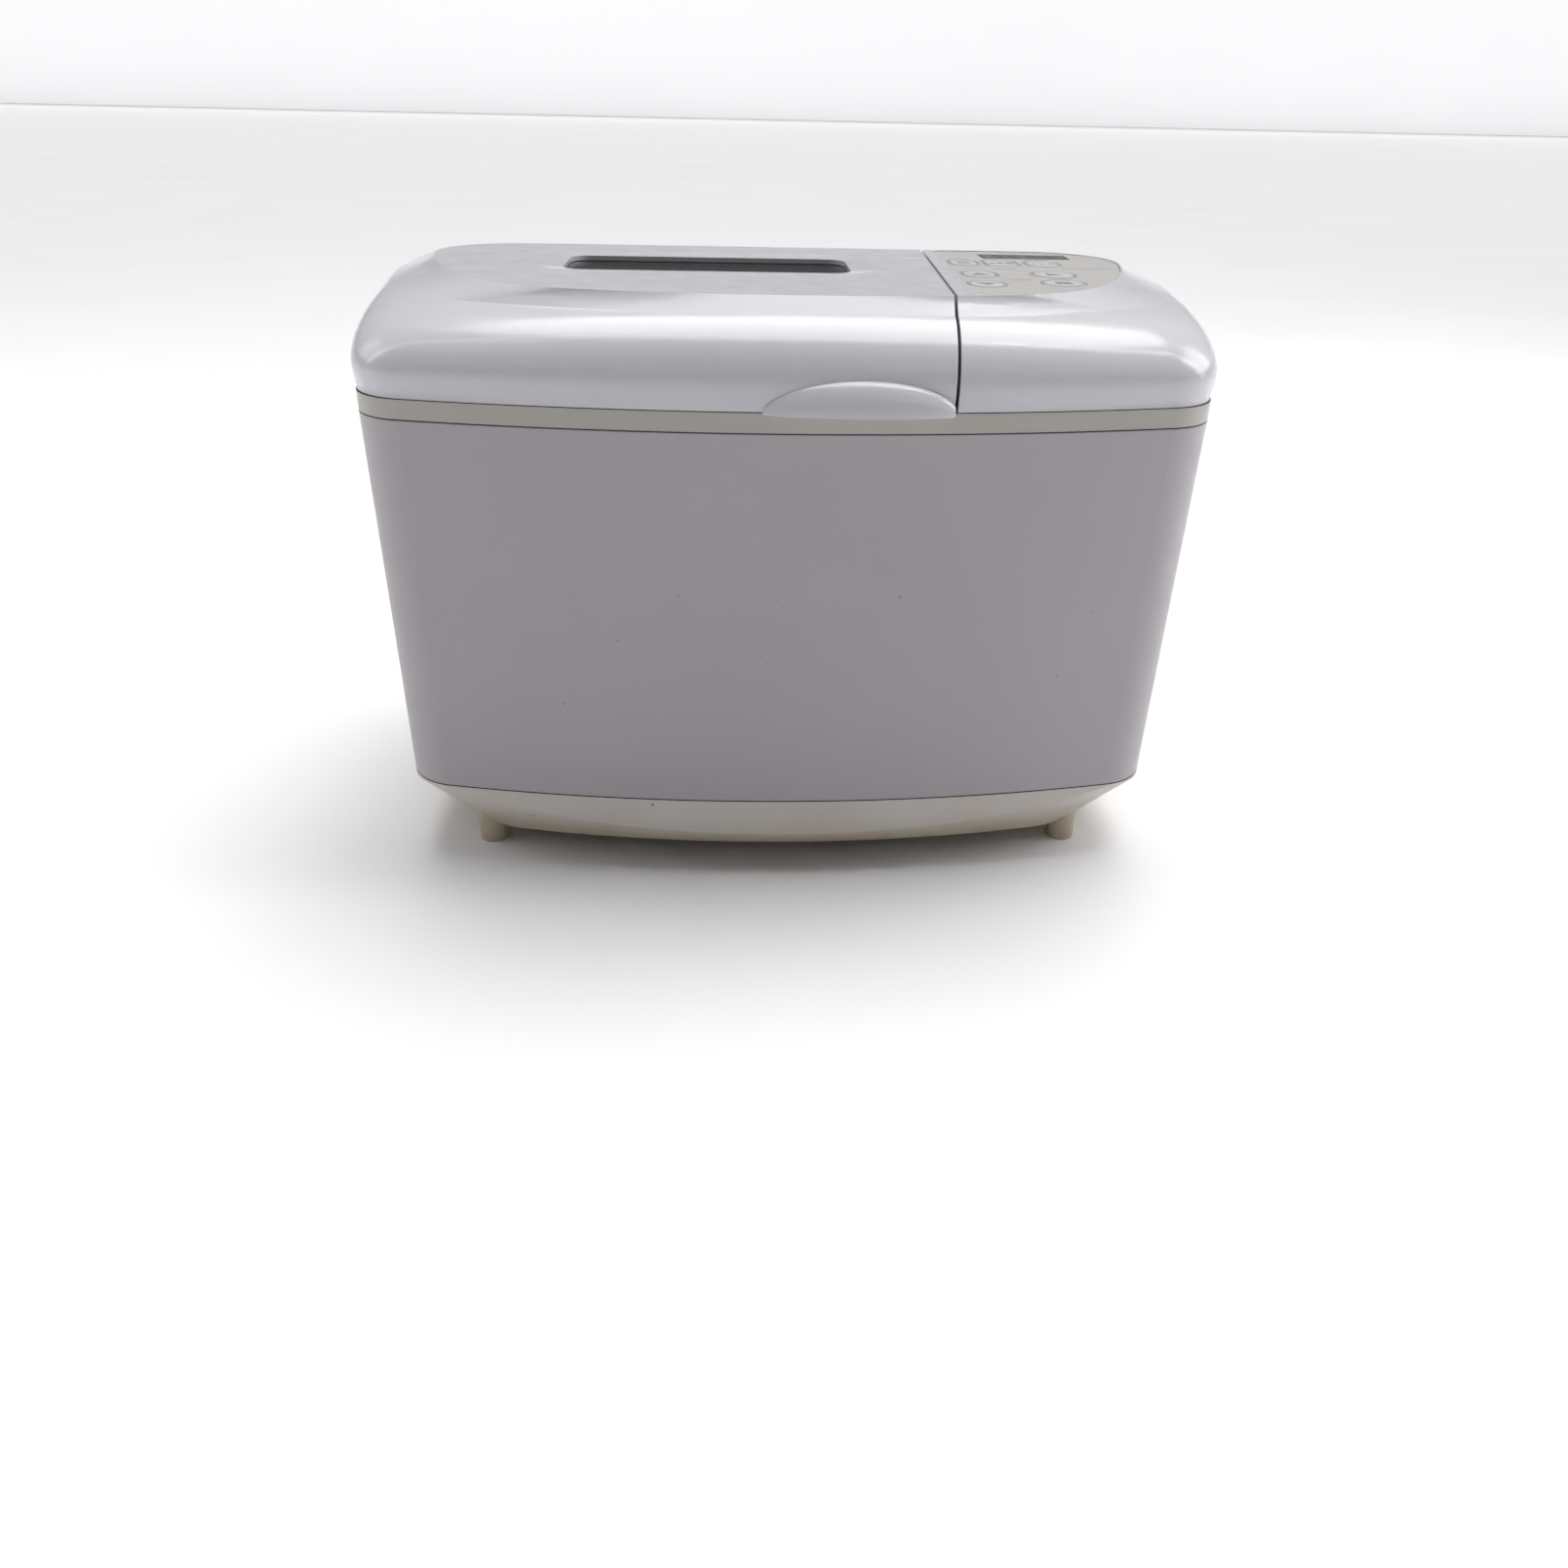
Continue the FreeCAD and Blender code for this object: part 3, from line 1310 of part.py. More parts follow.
CHASSIS_TOP = "chassis_level + chassis_thickness"
chassis = rounded_plate(
    "chassis_blank", "chassis_width", "chassis_depth", "40", "chassis_thickness", "0", "0", "chassis_level"
)
chassis_holes = [
    cylinder("chassis_shaft_hole", "12", "10", "chamber_x", "0", "chassis_level - 4"),
    cylinder("chassis_motor_hole", "12", "10", "motor_x", "0", "chassis_level - 4"),
]
CORNERS = [(a, b) for a in (-1, 1) for b in (-1, 1)]
for k, (a, b) in enumerate(CORNERS):
    chassis_holes.append(
        cylinder(
            f"chassis_hole{k}", "screw_radius + 0.02", "10", f"{a} * foot_spread", f"{b} * foot_reach",
            "chassis_level - 4",
        )
    )
register(cut("chassis_pierced", chassis, *chassis_holes), "chassis_plate")
base_screws = [
    screw(f"base_screw{k}", f"{a} * foot_spread", f"{b} * foot_reach", "36")
    for k, (a, b) in enumerate(CORNERS)
]
register(group("base_screws_group", base_screws), "base_screws")
BARREL_TOP = f"{CHASSIS_TOP} + 19"
HOUSING_BORE = "shaft_radius + bush_wall"
register(
    turned(
        "bearing_housing_body",
        [
            (HOUSING_BORE, CHASSIS_TOP), ("24", CHASSIS_TOP), ("24", f"{CHASSIS_TOP} + 3"),
            ("12", f"{CHASSIS_TOP} + 6"),
            ("12", BARREL_TOP), (HOUSING_BORE, BARREL_TOP),
        ],
        "chamber_x", "0",
    ),
    "bearing_housing",
)
bushes = [
    tube("bush_low", HOUSING_BORE, BUSH_BORE, "7", "chamber_x", "0", CHASSIS_TOP),
    tube("bush_high", HOUSING_BORE, BUSH_BORE, "7", "chamber_x", "0", f"{CHASSIS_TOP} + 12"),
]
register(group("bushes_group", bushes), "drive_bushes")
register(
    cylinder("drive_shaft_rod", "shaft_radius", "pan_bottom - 13.5 - 29", "chamber_x", "0", "29"),
    "drive_shaft",
)
BELT_LOW = "pulley_bottom + pulley_flange"
BELT_HIGH = "pulley_bottom + pulley_flange + belt_width"
PULLEY_TOP = "pulley_bottom + 2 * pulley_flange + belt_width"
BIG_FLANGE = "drive_pulley_radius + 1.5"
register(
    turned(
        "drive_pulley_body",
        [
            ("shaft_radius", "pulley_bottom"), ("12", "pulley_bottom"), ("12", "pulley_bottom + 5"),
            ("drive_pulley_radius - 6", "pulley_bottom + 5"), ("drive_pulley_radius - 6", "pulley_bottom"),
            (BIG_FLANGE, "pulley_bottom"), (BIG_FLANGE, BELT_LOW), ("drive_pulley_radius", BELT_LOW),
            ("drive_pulley_radius", BELT_HIGH), (BIG_FLANGE, BELT_HIGH), (BIG_FLANGE, PULLEY_TOP),
            ("drive_pulley_radius - 6", PULLEY_TOP), ("drive_pulley_radius - 6", "pulley_bottom + 9"),
            ("12", "pulley_bottom + 9"), ("12", f"{PULLEY_TOP} + 3"), ("shaft_radius", f"{PULLEY_TOP} + 3"),
        ],
        "chamber_x", "0",
    ),
    "drive_pulley",
)
SMALL_FLANGE = "motor_pulley_radius + 1.5"
register(
    turned(
        "motor_pulley_body",
        [
            ("motor_shaft_radius", "pulley_bottom"), (SMALL_FLANGE, "pulley_bottom"),
            (SMALL_FLANGE, BELT_LOW),
            ("motor_pulley_radius", BELT_LOW), ("motor_pulley_radius", BELT_HIGH),
            (SMALL_FLANGE, BELT_HIGH),
            (SMALL_FLANGE, PULLEY_TOP), ("motor_pulley_radius - 2", PULLEY_TOP),
            ("motor_pulley_radius - 2", f"{PULLEY_TOP} + 6"),
            ("motor_shaft_radius", f"{PULLEY_TOP} + 6"),
        ],
        "motor_x", "0",
    ),
    "motor_pulley",
)
register(cylinder("motor_shaft_rod", "motor_shaft_radius", "71", "motor_x", "0", "29"), "motor_shaft")
MOTOR_FOOT = f"{CHASSIS_TOP} + 6"
motor_blank = fuse(
    "motor_blank",
    cylinder("motor_can", "motor_radius", "motor_height", "motor_x", "0", MOTOR_FOOT),
    box("motor_flange", "76", "76", "3", "motor_x", "0", MOTOR_FOOT),
    cylinder("motor_boss", "9", "9", "motor_x", "0", CHASSIS_TOP),
    cylinder("motor_cap", "14", "motor_height + 6", "motor_x", "0", MOTOR_FOOT),
)
motor_bore = cylinder("motor_bore", "motor_shaft_radius + 0.06", "46", "motor_x", "0", f"{CHASSIS_TOP} - 5")
MOUNT_OFFSET = 31
motor_holes = [
    cylinder(
        f"flange_hole{k}", "2", "8", f"motor_x + {a * MOUNT_OFFSET}", b * MOUNT_OFFSET, f"{MOTOR_FOOT} - 2"
    )
    for k, (a, b) in enumerate(CORNERS)
]
register(cut("motor_machined", motor_blank, motor_bore, *motor_holes), "motor_body")
mounts = [
    tube(f"mount{k}", "6", "2", "6", f"motor_x + {a * MOUNT_OFFSET}", b * MOUNT_OFFSET, CHASSIS_TOP)
    for k, (a, b) in enumerate(CORNERS)
]
register(group("mounts_group", mounts), "motor_mounts")
capacitor_case = box("capacitor_case", "44", "22", "34", "118", "62", CHASSIS_TOP)
capacitor_tabs = [
    box(f"capacitor_tab{k}", "0.8", "6", "9", 108 + 20 * k, "62", f"{CHASSIS_TOP} + 33")
    for k in range(2)
]
register(fuse("capacitor", capacitor_case, *capacitor_tabs), "motor_capacitor")

# ---------------------------------------------------------------- build: electronics and inlet

BOARD_X = "189"
BOARD_LOW = "146"
board_parts = [
    box("power_board_sheet", "1.6", "124", "84", BOARD_X, "0", BOARD_LOW),
    box("relay_box", "16", "20", "16", f"{BOARD_X} - 8.8", "16", "156"),
    cylinder("smoothing_can", "6", "20", f"{BOARD_X} - 20.8", "44", "170", ALONG_X),
    box("regulator", "5", "10", "15", f"{BOARD_X} - 3.3", "36", "196"),
]
register(fuse("power_board_joined", *board_parts), "power_board")
bracket_parts = [
    box("bracket_plate", "1.4", "116", f"232 - ({CHASSIS_TOP})", "193.1", "0", CHASSIS_TOP),
    box("bracket_foot", "14", "116", "1.4", "186.8", "0", CHASSIS_TOP),
]
for k, (a, b) in enumerate(CORNERS):
    bracket_parts.append(cylinder(f"standoff{k}", "3", "3.2", "189.8", a * 50, f"{188 + b * 34}", ALONG_X))
register(fuse("board_bracket_joined", *bracket_parts), "board_bracket")
transformer_parts = [
    box("transformer_core", "34", "44", "38", "171.2", "-34", "152"),
    box("transformer_coil", "40", "26", "30", "166", "-34", "156"),
]
register(fuse("transformer_joined", *transformer_parts), "transformer")
ribbon_parts = [
    box("ribbon_run", "46", "24", "1", "165.2", "-4", "224"),
    box("ribbon_rise", "1", "24", "board_level - 224", "142.7", "-4", "224"),
]
register(fuse("ribbon_joined", *ribbon_parts), "ribbon_cable")
register(cylinder("buzzer_can", "8", "7", "152", "44", "board_level - 7"), "buzzer")
register(
    shaped("lcd_lens_solid", display_prism(0.0, LENS_LOW, LENS_LOW + size("overlay_thickness"))),
    "display_lens",
)
INLET_START = "116.9"
bushing_blank = fuse(
    "bushing_blank",
    cylinder(
        "bushing_barrel", "inlet_bore + 4.3", "inlet_length", "inlet_x", INLET_START, "inlet_z", ALONG_Y
    ),
    cylinder(
        "bushing_flange", "inlet_bore + 7", "2.6", "inlet_x", f"{INLET_START} + inlet_length - 2.6",
        "inlet_z", ALONG_Y,
    ),
    cylinder("bushing_nut", "inlet_bore + 7", "5", "inlet_x", INLET_START, "inlet_z", ALONG_Y),
)
bushing_bore = cylinder("bushing_bore", "inlet_bore", "60", "inlet_x", "90", "inlet_z", ALONG_Y)
register(cut("bushing", bushing_blank, bushing_bore), "cord_bushing")


# ---------------------------------------------------------------- check and write


def check_document():
    """Stops if any object failed to compute or any piece has no valid shape."""
    doc.recompute()
    for item in doc.Objects:
        failed = [state for state in item.State if state in ("Invalid", "Error")]
        if failed:
            raise RuntimeError(f"{item.Name}: {failed}")
    for label, item in nodes.items():
        if item.Shape.isNull() or not item.Shape.isValid():
            raise RuntimeError(f"{label} has no valid shape")


check_document()
os.makedirs("parts", exist_ok=True)
for label, item in nodes.items():
    item.Shape.exportStep(os.path.join("parts", f"{label}.step"))
    print(f"{label}: {len(item.Shape.Solids)} solids, {item.Shape.Volume / 1000:.1f} cm3")
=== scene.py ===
import json
import math

import bmesh
import bpy
from mathutils import Matrix, Vector


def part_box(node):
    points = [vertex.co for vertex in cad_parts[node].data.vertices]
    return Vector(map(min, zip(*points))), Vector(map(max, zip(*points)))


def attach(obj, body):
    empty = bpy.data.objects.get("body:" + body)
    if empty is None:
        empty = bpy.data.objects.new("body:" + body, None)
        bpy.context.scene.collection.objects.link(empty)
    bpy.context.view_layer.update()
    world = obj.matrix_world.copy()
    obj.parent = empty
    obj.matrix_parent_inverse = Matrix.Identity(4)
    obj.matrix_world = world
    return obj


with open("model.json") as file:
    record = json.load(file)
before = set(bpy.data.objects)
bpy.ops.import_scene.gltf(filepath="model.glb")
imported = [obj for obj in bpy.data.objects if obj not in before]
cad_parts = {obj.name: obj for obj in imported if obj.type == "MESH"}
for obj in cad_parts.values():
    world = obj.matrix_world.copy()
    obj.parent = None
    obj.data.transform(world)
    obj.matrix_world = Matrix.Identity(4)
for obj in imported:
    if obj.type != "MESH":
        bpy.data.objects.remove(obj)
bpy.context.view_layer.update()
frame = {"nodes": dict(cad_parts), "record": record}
NODES = frame["nodes"]
MM = 0.001

# ---------------------------------------------------------------- materials


class Look:
    """One procedural material: a principled shader and the node tree that feeds it."""

    def __init__(self, name, metallic=0.0, coat=0.0, coat_roughness=0.05, specular=0.5, clear=0.0, ior=1.5):
        self.material = bpy.data.materials.new(name)
        self.material.use_nodes = True
        self.tree = self.material.node_tree
        self.shader = self.tree.nodes["Principled BSDF"]
        self.shader.inputs["Metallic"].default_value = metallic
        self.shader.inputs["Coat Weight"].default_value = coat
        self.shader.inputs["Coat Roughness"].default_value = coat_roughness
        self.shader.inputs["Specular IOR Level"].default_value = specular
        self.shader.inputs["Transmission Weight"].default_value = clear
        self.shader.inputs["IOR"].default_value = ior
        self.place = self.tree.nodes.new("ShaderNodeTexCoord").outputs["Object"]

    def link(self, source, target):
        self.tree.links.new(source, target)

    def stretched(self, stretch):
        """The object's coordinates, scaled differently along each axis."""
        mapping = self.tree.nodes.new("ShaderNodeMapping")
        mapping.inputs["Scale"].default_value = stretch
        self.link(self.place, mapping.inputs["Vector"])
        return mapping.outputs["Vector"]

    def noise(self, scale, detail=4.0, stretch=None):
        """Noise in the object's coordinates; the scale is features per metre."""
        node = self.tree.nodes.new("ShaderNodeTexNoise")
        node.inputs["Scale"].default_value = scale
        node.inputs["Detail"].default_value = detail
        self.link(self.place if stretch is None else self.stretched(stretch), node.inputs["Vector"])
        return node.outputs["Fac"]

    def height_share(self, low, high):
        """0 to 1 between two heights, in metres."""
        split = self.tree.nodes.new("ShaderNodeSeparateXYZ")
        self.link(self.place, split.inputs["Vector"])
        return self.span(split.outputs["Z"], 0.0, 1.0, low, high)

    def span(self, source, low, high, start=0.3, end=0.7):
        """Maps the range start to end onto the range low to high."""
        node = self.tree.nodes.new("ShaderNodeMapRange")
        for name, value in (("From Min", start), ("From Max", end), ("To Min", low), ("To Max", high)):
            node.inputs[name].default_value = value
        self.link(source, node.inputs["Value"])
        return node.outputs["Result"]

    def ramp(self, source, stops):
        """Colour ramp through (position, colour) stops."""
        node = self.tree.nodes.new("ShaderNodeValToRGB")
        elements = node.color_ramp.elements
        while len(elements) < len(stops):
            elements.new(0.5)
        for element, (position, colour) in zip(elements, stops):
            element.position = position
            element.color = (*colour, 1.0)
        self.link(source, node.inputs["Fac"])
        return node.outputs["Color"]

    def mix(self, share, first, second):
        """Mix of two colours, each a socket or three numbers, by a value socket."""
        node = self.tree.nodes.new("ShaderNodeMix")
        node.data_type = "RGBA"
        colours = [socket for socket in node.inputs if socket.type == "RGBA"]
        for target, value in zip(colours, (first, second)):
            if isinstance(value, bpy.types.NodeSocket):
                self.link(value, target)
            else:
                target.default_value = (*value, 1.0)
        self.link(share, node.inputs["Factor"])
        return [socket for socket in node.outputs if socket.type == "RGBA"][0]

    def colour(self, source):
        self.link(source, self.shader.inputs["Base Color"])

    def roughen(self, source):
        self.link(source, self.shader.inputs["Roughness"])

    def bump(self, source, height):
        node = self.tree.nodes.new("ShaderNodeBump")
        node.inputs["Distance"].default_value = height
        self.link(source, node.inputs["Height"])
        self.link(node.outputs["Normal"], self.shader.inputs["Normal"])

    def specks(self, base, speck, scale, start, end):
        """Scattered small marks of another colour over a base colour."""
        return self.mix(self.span(self.noise(scale, 1.0), 0.0, 1.0, start, end), base, speck)


def shade(colour, factor):
    """The same colour, lighter or darker."""
    return tuple(channel * factor for channel in colour)


def plastic(name, colour, drift, roughness, grain, grain_scale=420.0, **more):
    """Moulded plastic: faint colour drift, uneven gloss, orange peel and a few dust specks."""
    look = Look(name, **more)
    base = look.ramp(look.noise(9.0, 3.0), [(0.3, shade(colour, 1 - drift)), (0.7, colour)])
    look.colour(look.specks(base, shade(colour, 0.7), 240.0, 0.80, 0.83))
    look.roughen(look.span(look.noise(70.0, 5.0), roughness * 0.85, roughness * 1.2))
    look.bump(look.noise(grain_scale, 2.0), grain)
    return look.material


def yellowed(name, colour, old, low, high, roughness, grain):
    """White plastic that has gone yellow towards its lower edge."""
    look = Look(name)
    fade = look.mix(look.height_share(low, high), old, colour)
    patches = look.mix(look.span(look.noise(24.0, 4.0), 0.0, 0.35), fade, shade(old, 0.96))
    look.colour(look.specks(patches, shade(old, 0.4), 200.0, 0.78, 0.81))
    look.roughen(look.span(look.noise(70.0, 5.0), roughness * 0.85, roughness * 1.2))
    look.bump(look.noise(380.0, 2.0), grain)
    return look.material


def metal(name, colour, roughness, stretch, grain, scale=160.0):
    """Metal sheet or bar with brushed or rolled marks along its length."""
    look = Look(name, metallic=1.0)
    marks = look.noise(scale, 5.0, stretch)
    look.colour(look.ramp(marks, [(0.3, shade(colour, 0.82)), (0.7, colour)]))
    look.roughen(look.span(look.noise(45.0, 4.0), roughness * 0.75, roughness * 1.3))
    look.bump(marks, grain)
    return look.material


def clear_sheet(name, tint, roughness):
    """Tinted clear sheet with a trace of haze and dust."""
    look = Look(name, clear=0.85, ior=1.49)
    haze = look.noise(90.0, 6.0)
    look.colour(look.ramp(haze, [(0.35, tint), (0.75, shade(tint, 0.9))]))
    look.roughen(look.span(haze, roughness * 0.6, roughness * 1.5))
    look.bump(look.noise(25.0, 2.0), 0.00002)
    return look.material


def coated(name, colour, fleck):
    """Non-stick coating: near-black with fine light flecks."""
    look = Look(name, coat=0.3, coat_roughness=0.2)
    look.colour(look.specks(colour, fleck, 900.0, 0.62, 0.7))
    look.roughen(look.span(look.noise(120.0, 5.0), 0.3, 0.5))
    look.bump(look.noise(700.0, 3.0), 0.00003)
    return look.material


LOOKS = {
    "shell_white": plastic("gloss_white_plastic", (0.59, 0.59, 0.62), 0.02, 0.18, 0.000006),
    # The body's white plastic has a darker grey base colour than the lid shell: painted shade for its
    # walls, which get little direct light.
    "body_white": plastic("satin_white_plastic_with_painted_shade", (0.41, 0.385, 0.41), 0.03, 0.40, 0.00003),
    "collar_cream": plastic("cream_plastic", (0.44, 0.42, 0.385), 0.04, 0.36, 0.00003),
    "base_white": yellowed(
        "aged_white_plastic", (0.60, 0.57, 0.54), (0.50, 0.43, 0.32), 0.012, 0.034, 0.38, 0.00003
    ),
    "panel_film": plastic("panel_film", (0.47, 0.455, 0.44), 0.03, 0.34, 0.00002, 900.0),
    "key_film": plastic("key_film", (0.52, 0.51, 0.50), 0.03, 0.38, 0.00002, 900.0),
    "window_glass": clear_sheet("smoked_window", (0.06, 0.06, 0.06), 0.12),
    "display_glass": plastic("display_lens", (0.20, 0.225, 0.20), 0.06, 0.12, 0.000004, coat=0.5),
    # The dark seam bands also use this rubber colour, as painted shadow in the joints.
    "gasket_rubber": plastic("dark_gasket_rubber_and_painted_seam_shadow", (0.018, 0.018, 0.019), 0.2, 0.7, 0.00005),
    "liner_metal": metal("aluminium_sheet", (0.80, 0.80, 0.81), 0.28, (0.15, 3.0, 3.0), 0.00002),
    "chamber_metal": metal("plated_steel_sheet", (0.62, 0.62, 0.61), 0.32, (3.0, 3.0, 0.2), 0.00003),
    "nonstick": coated("nonstick_coating", (0.035, 0.035, 0.038), (0.16, 0.16, 0.17)),
    "bright_steel": metal("bright_steel", (0.74, 0.74, 0.75), 0.18, (0.3, 3.0, 3.0), 0.00001),
    "plain_steel": metal("zinc_plated_steel", (0.55, 0.56, 0.57), 0.34, (1.0, 1.0, 1.0), 0.00004),
    "element_sheath": metal("heat_stained_sheath", (0.28, 0.26, 0.25), 0.45, (1.0, 1.0, 1.0), 0.00005),
    "ceramic_white": plastic("glazed_ceramic", (0.78, 0.76, 0.70), 0.05, 0.22, 0.00002),
    "bronze": metal("sintered_bronze", (0.55, 0.38, 0.20), 0.4, (1.0, 1.0, 1.0), 0.00006, 900.0),
    "black_plastic": plastic("black_plastic", (0.02, 0.02, 0.021), 0.2, 0.42, 0.00004),
    "black_rubber": plastic("black_rubber", (0.015, 0.015, 0.015), 0.2, 0.75, 0.00005),
    "cast_metal": metal("cast_aluminium", (0.56, 0.56, 0.57), 0.45, (1.0, 1.0, 1.0), 0.00012, 500.0),
    "motor_paint": plastic("motor_enamel", (0.10, 0.11, 0.12), 0.1, 0.35, 0.00003),
    "board_green": plastic("circuit_board", (0.02, 0.10, 0.05), 0.25, 0.35, 0.00005, 600.0),
    "component_grey": plastic("component_case", (0.09, 0.09, 0.10), 0.15, 0.45, 0.00004),
    "ribbon_grey": plastic("ribbon_insulation", (0.34, 0.35, 0.37), 0.08, 0.45, 0.00004),
}


def print_ink(name, colour):
    """Screen-printed ink with slightly uneven cover."""
    look = Look(name)
    look.colour(look.ramp(look.noise(500.0, 3.0), [(0.3, shade(colour, 0.85)), (0.7, colour)]))
    look.roughen(look.span(look.noise(300.0, 3.0), 0.4, 0.55))
    look.bump(look.noise(900.0, 2.0), 0.00001)
    return look.material


INK = print_ink("grey_blue_ink", (0.20, 0.21, 0.25))
DARK_INK = print_ink("dark_ink", (0.05, 0.05, 0.055))
SEGMENT_INK = print_ink("display_segment", (0.03, 0.035, 0.03))


def paint_nodes():
    """Gives every CAD mesh the material of its slot, in the slots it already has."""
    for part in frame["record"]["subparts"]:
        mesh = NODES[part["node"]].data
        look = LOOKS[part["material_slot"]]
        for index in range(len(mesh.materials)):
            mesh.materials[index] = look
        if not mesh.materials:
            mesh.materials.append(look)


# ---------------------------------------------------------------- casing outlines, in millimetres


CORNER_RADIUS = 31.0


def corner_centre(big, big_radius, side, side_radius, radius, towards):
    """Centre of the corner arc that touches two larger arcs from inside."""
    reach_big, reach_side = big_radius - radius, side_radius - radius
    gap = side - big
    along = (reach_big**2 - reach_side**2 + gap.length_squared) / (2 * gap.length)
    across = math.sqrt(reach_big**2 - along**2)
    unit = gap.normalized()
    foot = big + unit * along
    normal = Vector((-unit.y, unit.x))
    return max((foot + normal * across, foot - normal * across), key=lambda point: point.dot(towards))


def arc_points(centre, start, end, count):
    """Points of the anticlockwise arc from start to end, the end left out."""
    radius = (start - centre).length
    first = math.atan2(start.y - centre.y, start.x - centre.x)
    last = math.atan2(end.y - centre.y, end.x - centre.x)
    while last < first:
        last += 2 * math.pi
    turns = [first + (last - first) * k / count for k in range(count)]
    return [centre + Vector((math.cos(t), math.sin(t))) * radius for t in turns]


def casing_outline(half, reach, back, bow, side, rear, apex, corner, rear_corner, count=24):
    """Closed plan of the casing: bowed front, sides and back joined by round corners."""
    front = Vector((0, -reach + bow))
    behind = Vector((0, back - rear))
    right = Vector((half - side, apex))
    low = corner_centre(front, bow, right, side, corner, Vector((1, -1)))
    high = corner_centre(behind, rear, right, side, rear_corner, Vector((1, 1)))

    def touch(big, radius, small):
        return big + (small - big).normalized() * radius

    front_end, side_start = touch(front, bow, low), touch(right, side, low)
    side_end, back_end = touch(right, side, high), touch(behind, rear, high)
    points = arc_points(front, Vector((0, -reach)), front_end, count)
    points += arc_points(low, front_end, side_start, count)
    points += arc_points(right, side_start, side_end, count)
    points += arc_points(high, side_end, back_end, count)
    points += arc_points(behind, back_end, Vector((0, back)), count)
    points.append(Vector((0, back)))
    return points + [Vector((-p.x, p.y)) for p in reversed(points[1:-1])]


def straight_outline(half, reach):
    """Plan of the casing below the lid."""
    return casing_outline(half, reach, reach, 880.0, 5200.0, 12000.0, 0.0, CORNER_RADIUS, CORNER_RADIUS)


# ---------------------------------------------------------------- thin pieces


def add_piece(name, build, body, material):
    """Makes a mesh piece from a bmesh-filling function and lets it ride on a body."""
    work = bmesh.new()
    build(work)
    bmesh.ops.recalc_face_normals(work, faces=work.faces)
    mesh = bpy.data.meshes.new(name)
    work.to_mesh(mesh)
    work.free()
    mesh.materials.append(material)
    piece = bpy.data.objects.new(name, mesh)
    bpy.context.scene.collection.objects.link(piece)
    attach(piece, body)
    return piece


def band(work, outer, inner, low, high):
    """Closed band between two plan loops with the same count of points."""
    rings = []
    for points, level in ((outer, low), (outer, high), (inner, high), (inner, low)):
        rings.append([work.verts.new((p.x * MM, p.y * MM, level * MM)) for p in points])
    count = len(outer)
    for k in range(4):
        first, second = rings[k], rings[(k + 1) % 4]
        for i in range(count):
            j = (i + 1) % count
            work.faces.new((first[i], first[j], second[j], second[i]))


def slab(work, points, low, high):
    """Solid prism over a plan polygon."""
    bottom = [work.verts.new((p.x * MM, p.y * MM, low * MM)) for p in points]
    top = [work.verts.new((p.x * MM, p.y * MM, high * MM)) for p in points]
    work.faces.new(list(reversed(bottom)))
    work.faces.new(top)
    for i in range(len(points)):
        j = (i + 1) % len(points)
        work.faces.new((bottom[i], bottom[j], top[j], top[i]))


def rounded_rectangle(x, y, width, depth, radius, count=8):
    """Plan of a rounded rectangle about a centre."""
    points = []
    for turn, (sx, sy) in enumerate(((1, 1), (-1, 1), (-1, -1), (1, -1))):
        centre = Vector((x + sx * (width / 2 - radius), y + sy * (depth / 2 - radius)))
        for k in range(count + 1):
            angle = (turn + k / count) * math.pi / 2
            points.append(centre + Vector((math.cos(angle), math.sin(angle))) * radius)
    return points


def polygon(x, y, corners):
    """Plan polygon about a centre."""
    return [Vector((x + dx, y + dy)) for dx, dy in corners]


def bar(x, y, width, depth):
    """Plan of a printed bar with slightly round ends."""
    return rounded_rectangle(x, y, width, depth, min(width, depth) * 0.3, 3)


# ---------------------------------------------------------------- seams, drawn as dark bands of painted shadow


def painted_seam_shadow(name, outer, inner, low, high):
    """Thin dark band of painted shadow between two (half width, reach) plans."""

    def build(work):
        band(work, straight_outline(*outer), straight_outline(*inner), low, high)

    # The dark rubber colour here is painted shadow in the joint gap.
    add_piece(name, build, "root", LOOKS["gasket_rubber"])


def make_painted_seam_shadows():
    """Dark bands of painted shadow in the joints where the lid, collar, side wall and base tray meet."""
    painted_seam_shadow("lid_seat_painted_shadow", (212.2, 134.9), (211.0, 133.7), 255.15, 255.75)
    painted_seam_shadow("collar_seam_painted_shadow", (212.33, 135.03), (211.2, 133.9), 245.3, 245.95)
    painted_seam_shadow("base_seam_painted_shadow", (208.53, 129.03), (207.3, 127.8), 45.35, 46.05)


# ---------------------------------------------------------------- control panel

KEYS = {
    "select": (103.2, 37.0, 16.4, 26.0, 7.6),
    "loaf_size": (124.6, 37.0, 19.0, 26.0, 3.0),
    "bake_color": (148.2, 37.0, 19.2, 26.0, 8.6),
    "timer_up": (103.7, -12.0, 18.8, 25.0, 9.2),
    "timer_down": (101.0, -50.0, 18.8, 23.0, 9.2),
    "start": (144.0, -10.0, 23.4, 25.0, 11.4),
    "stop": (142.0, -43.0, 23.0, 23.0, 11.2),
}
INK_HEIGHT = 0.03
INK_SINK = 0.02
KEY_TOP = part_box("key_start")[1][2] / MM
FILM_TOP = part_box("panel_overlay")[1][2] / MM


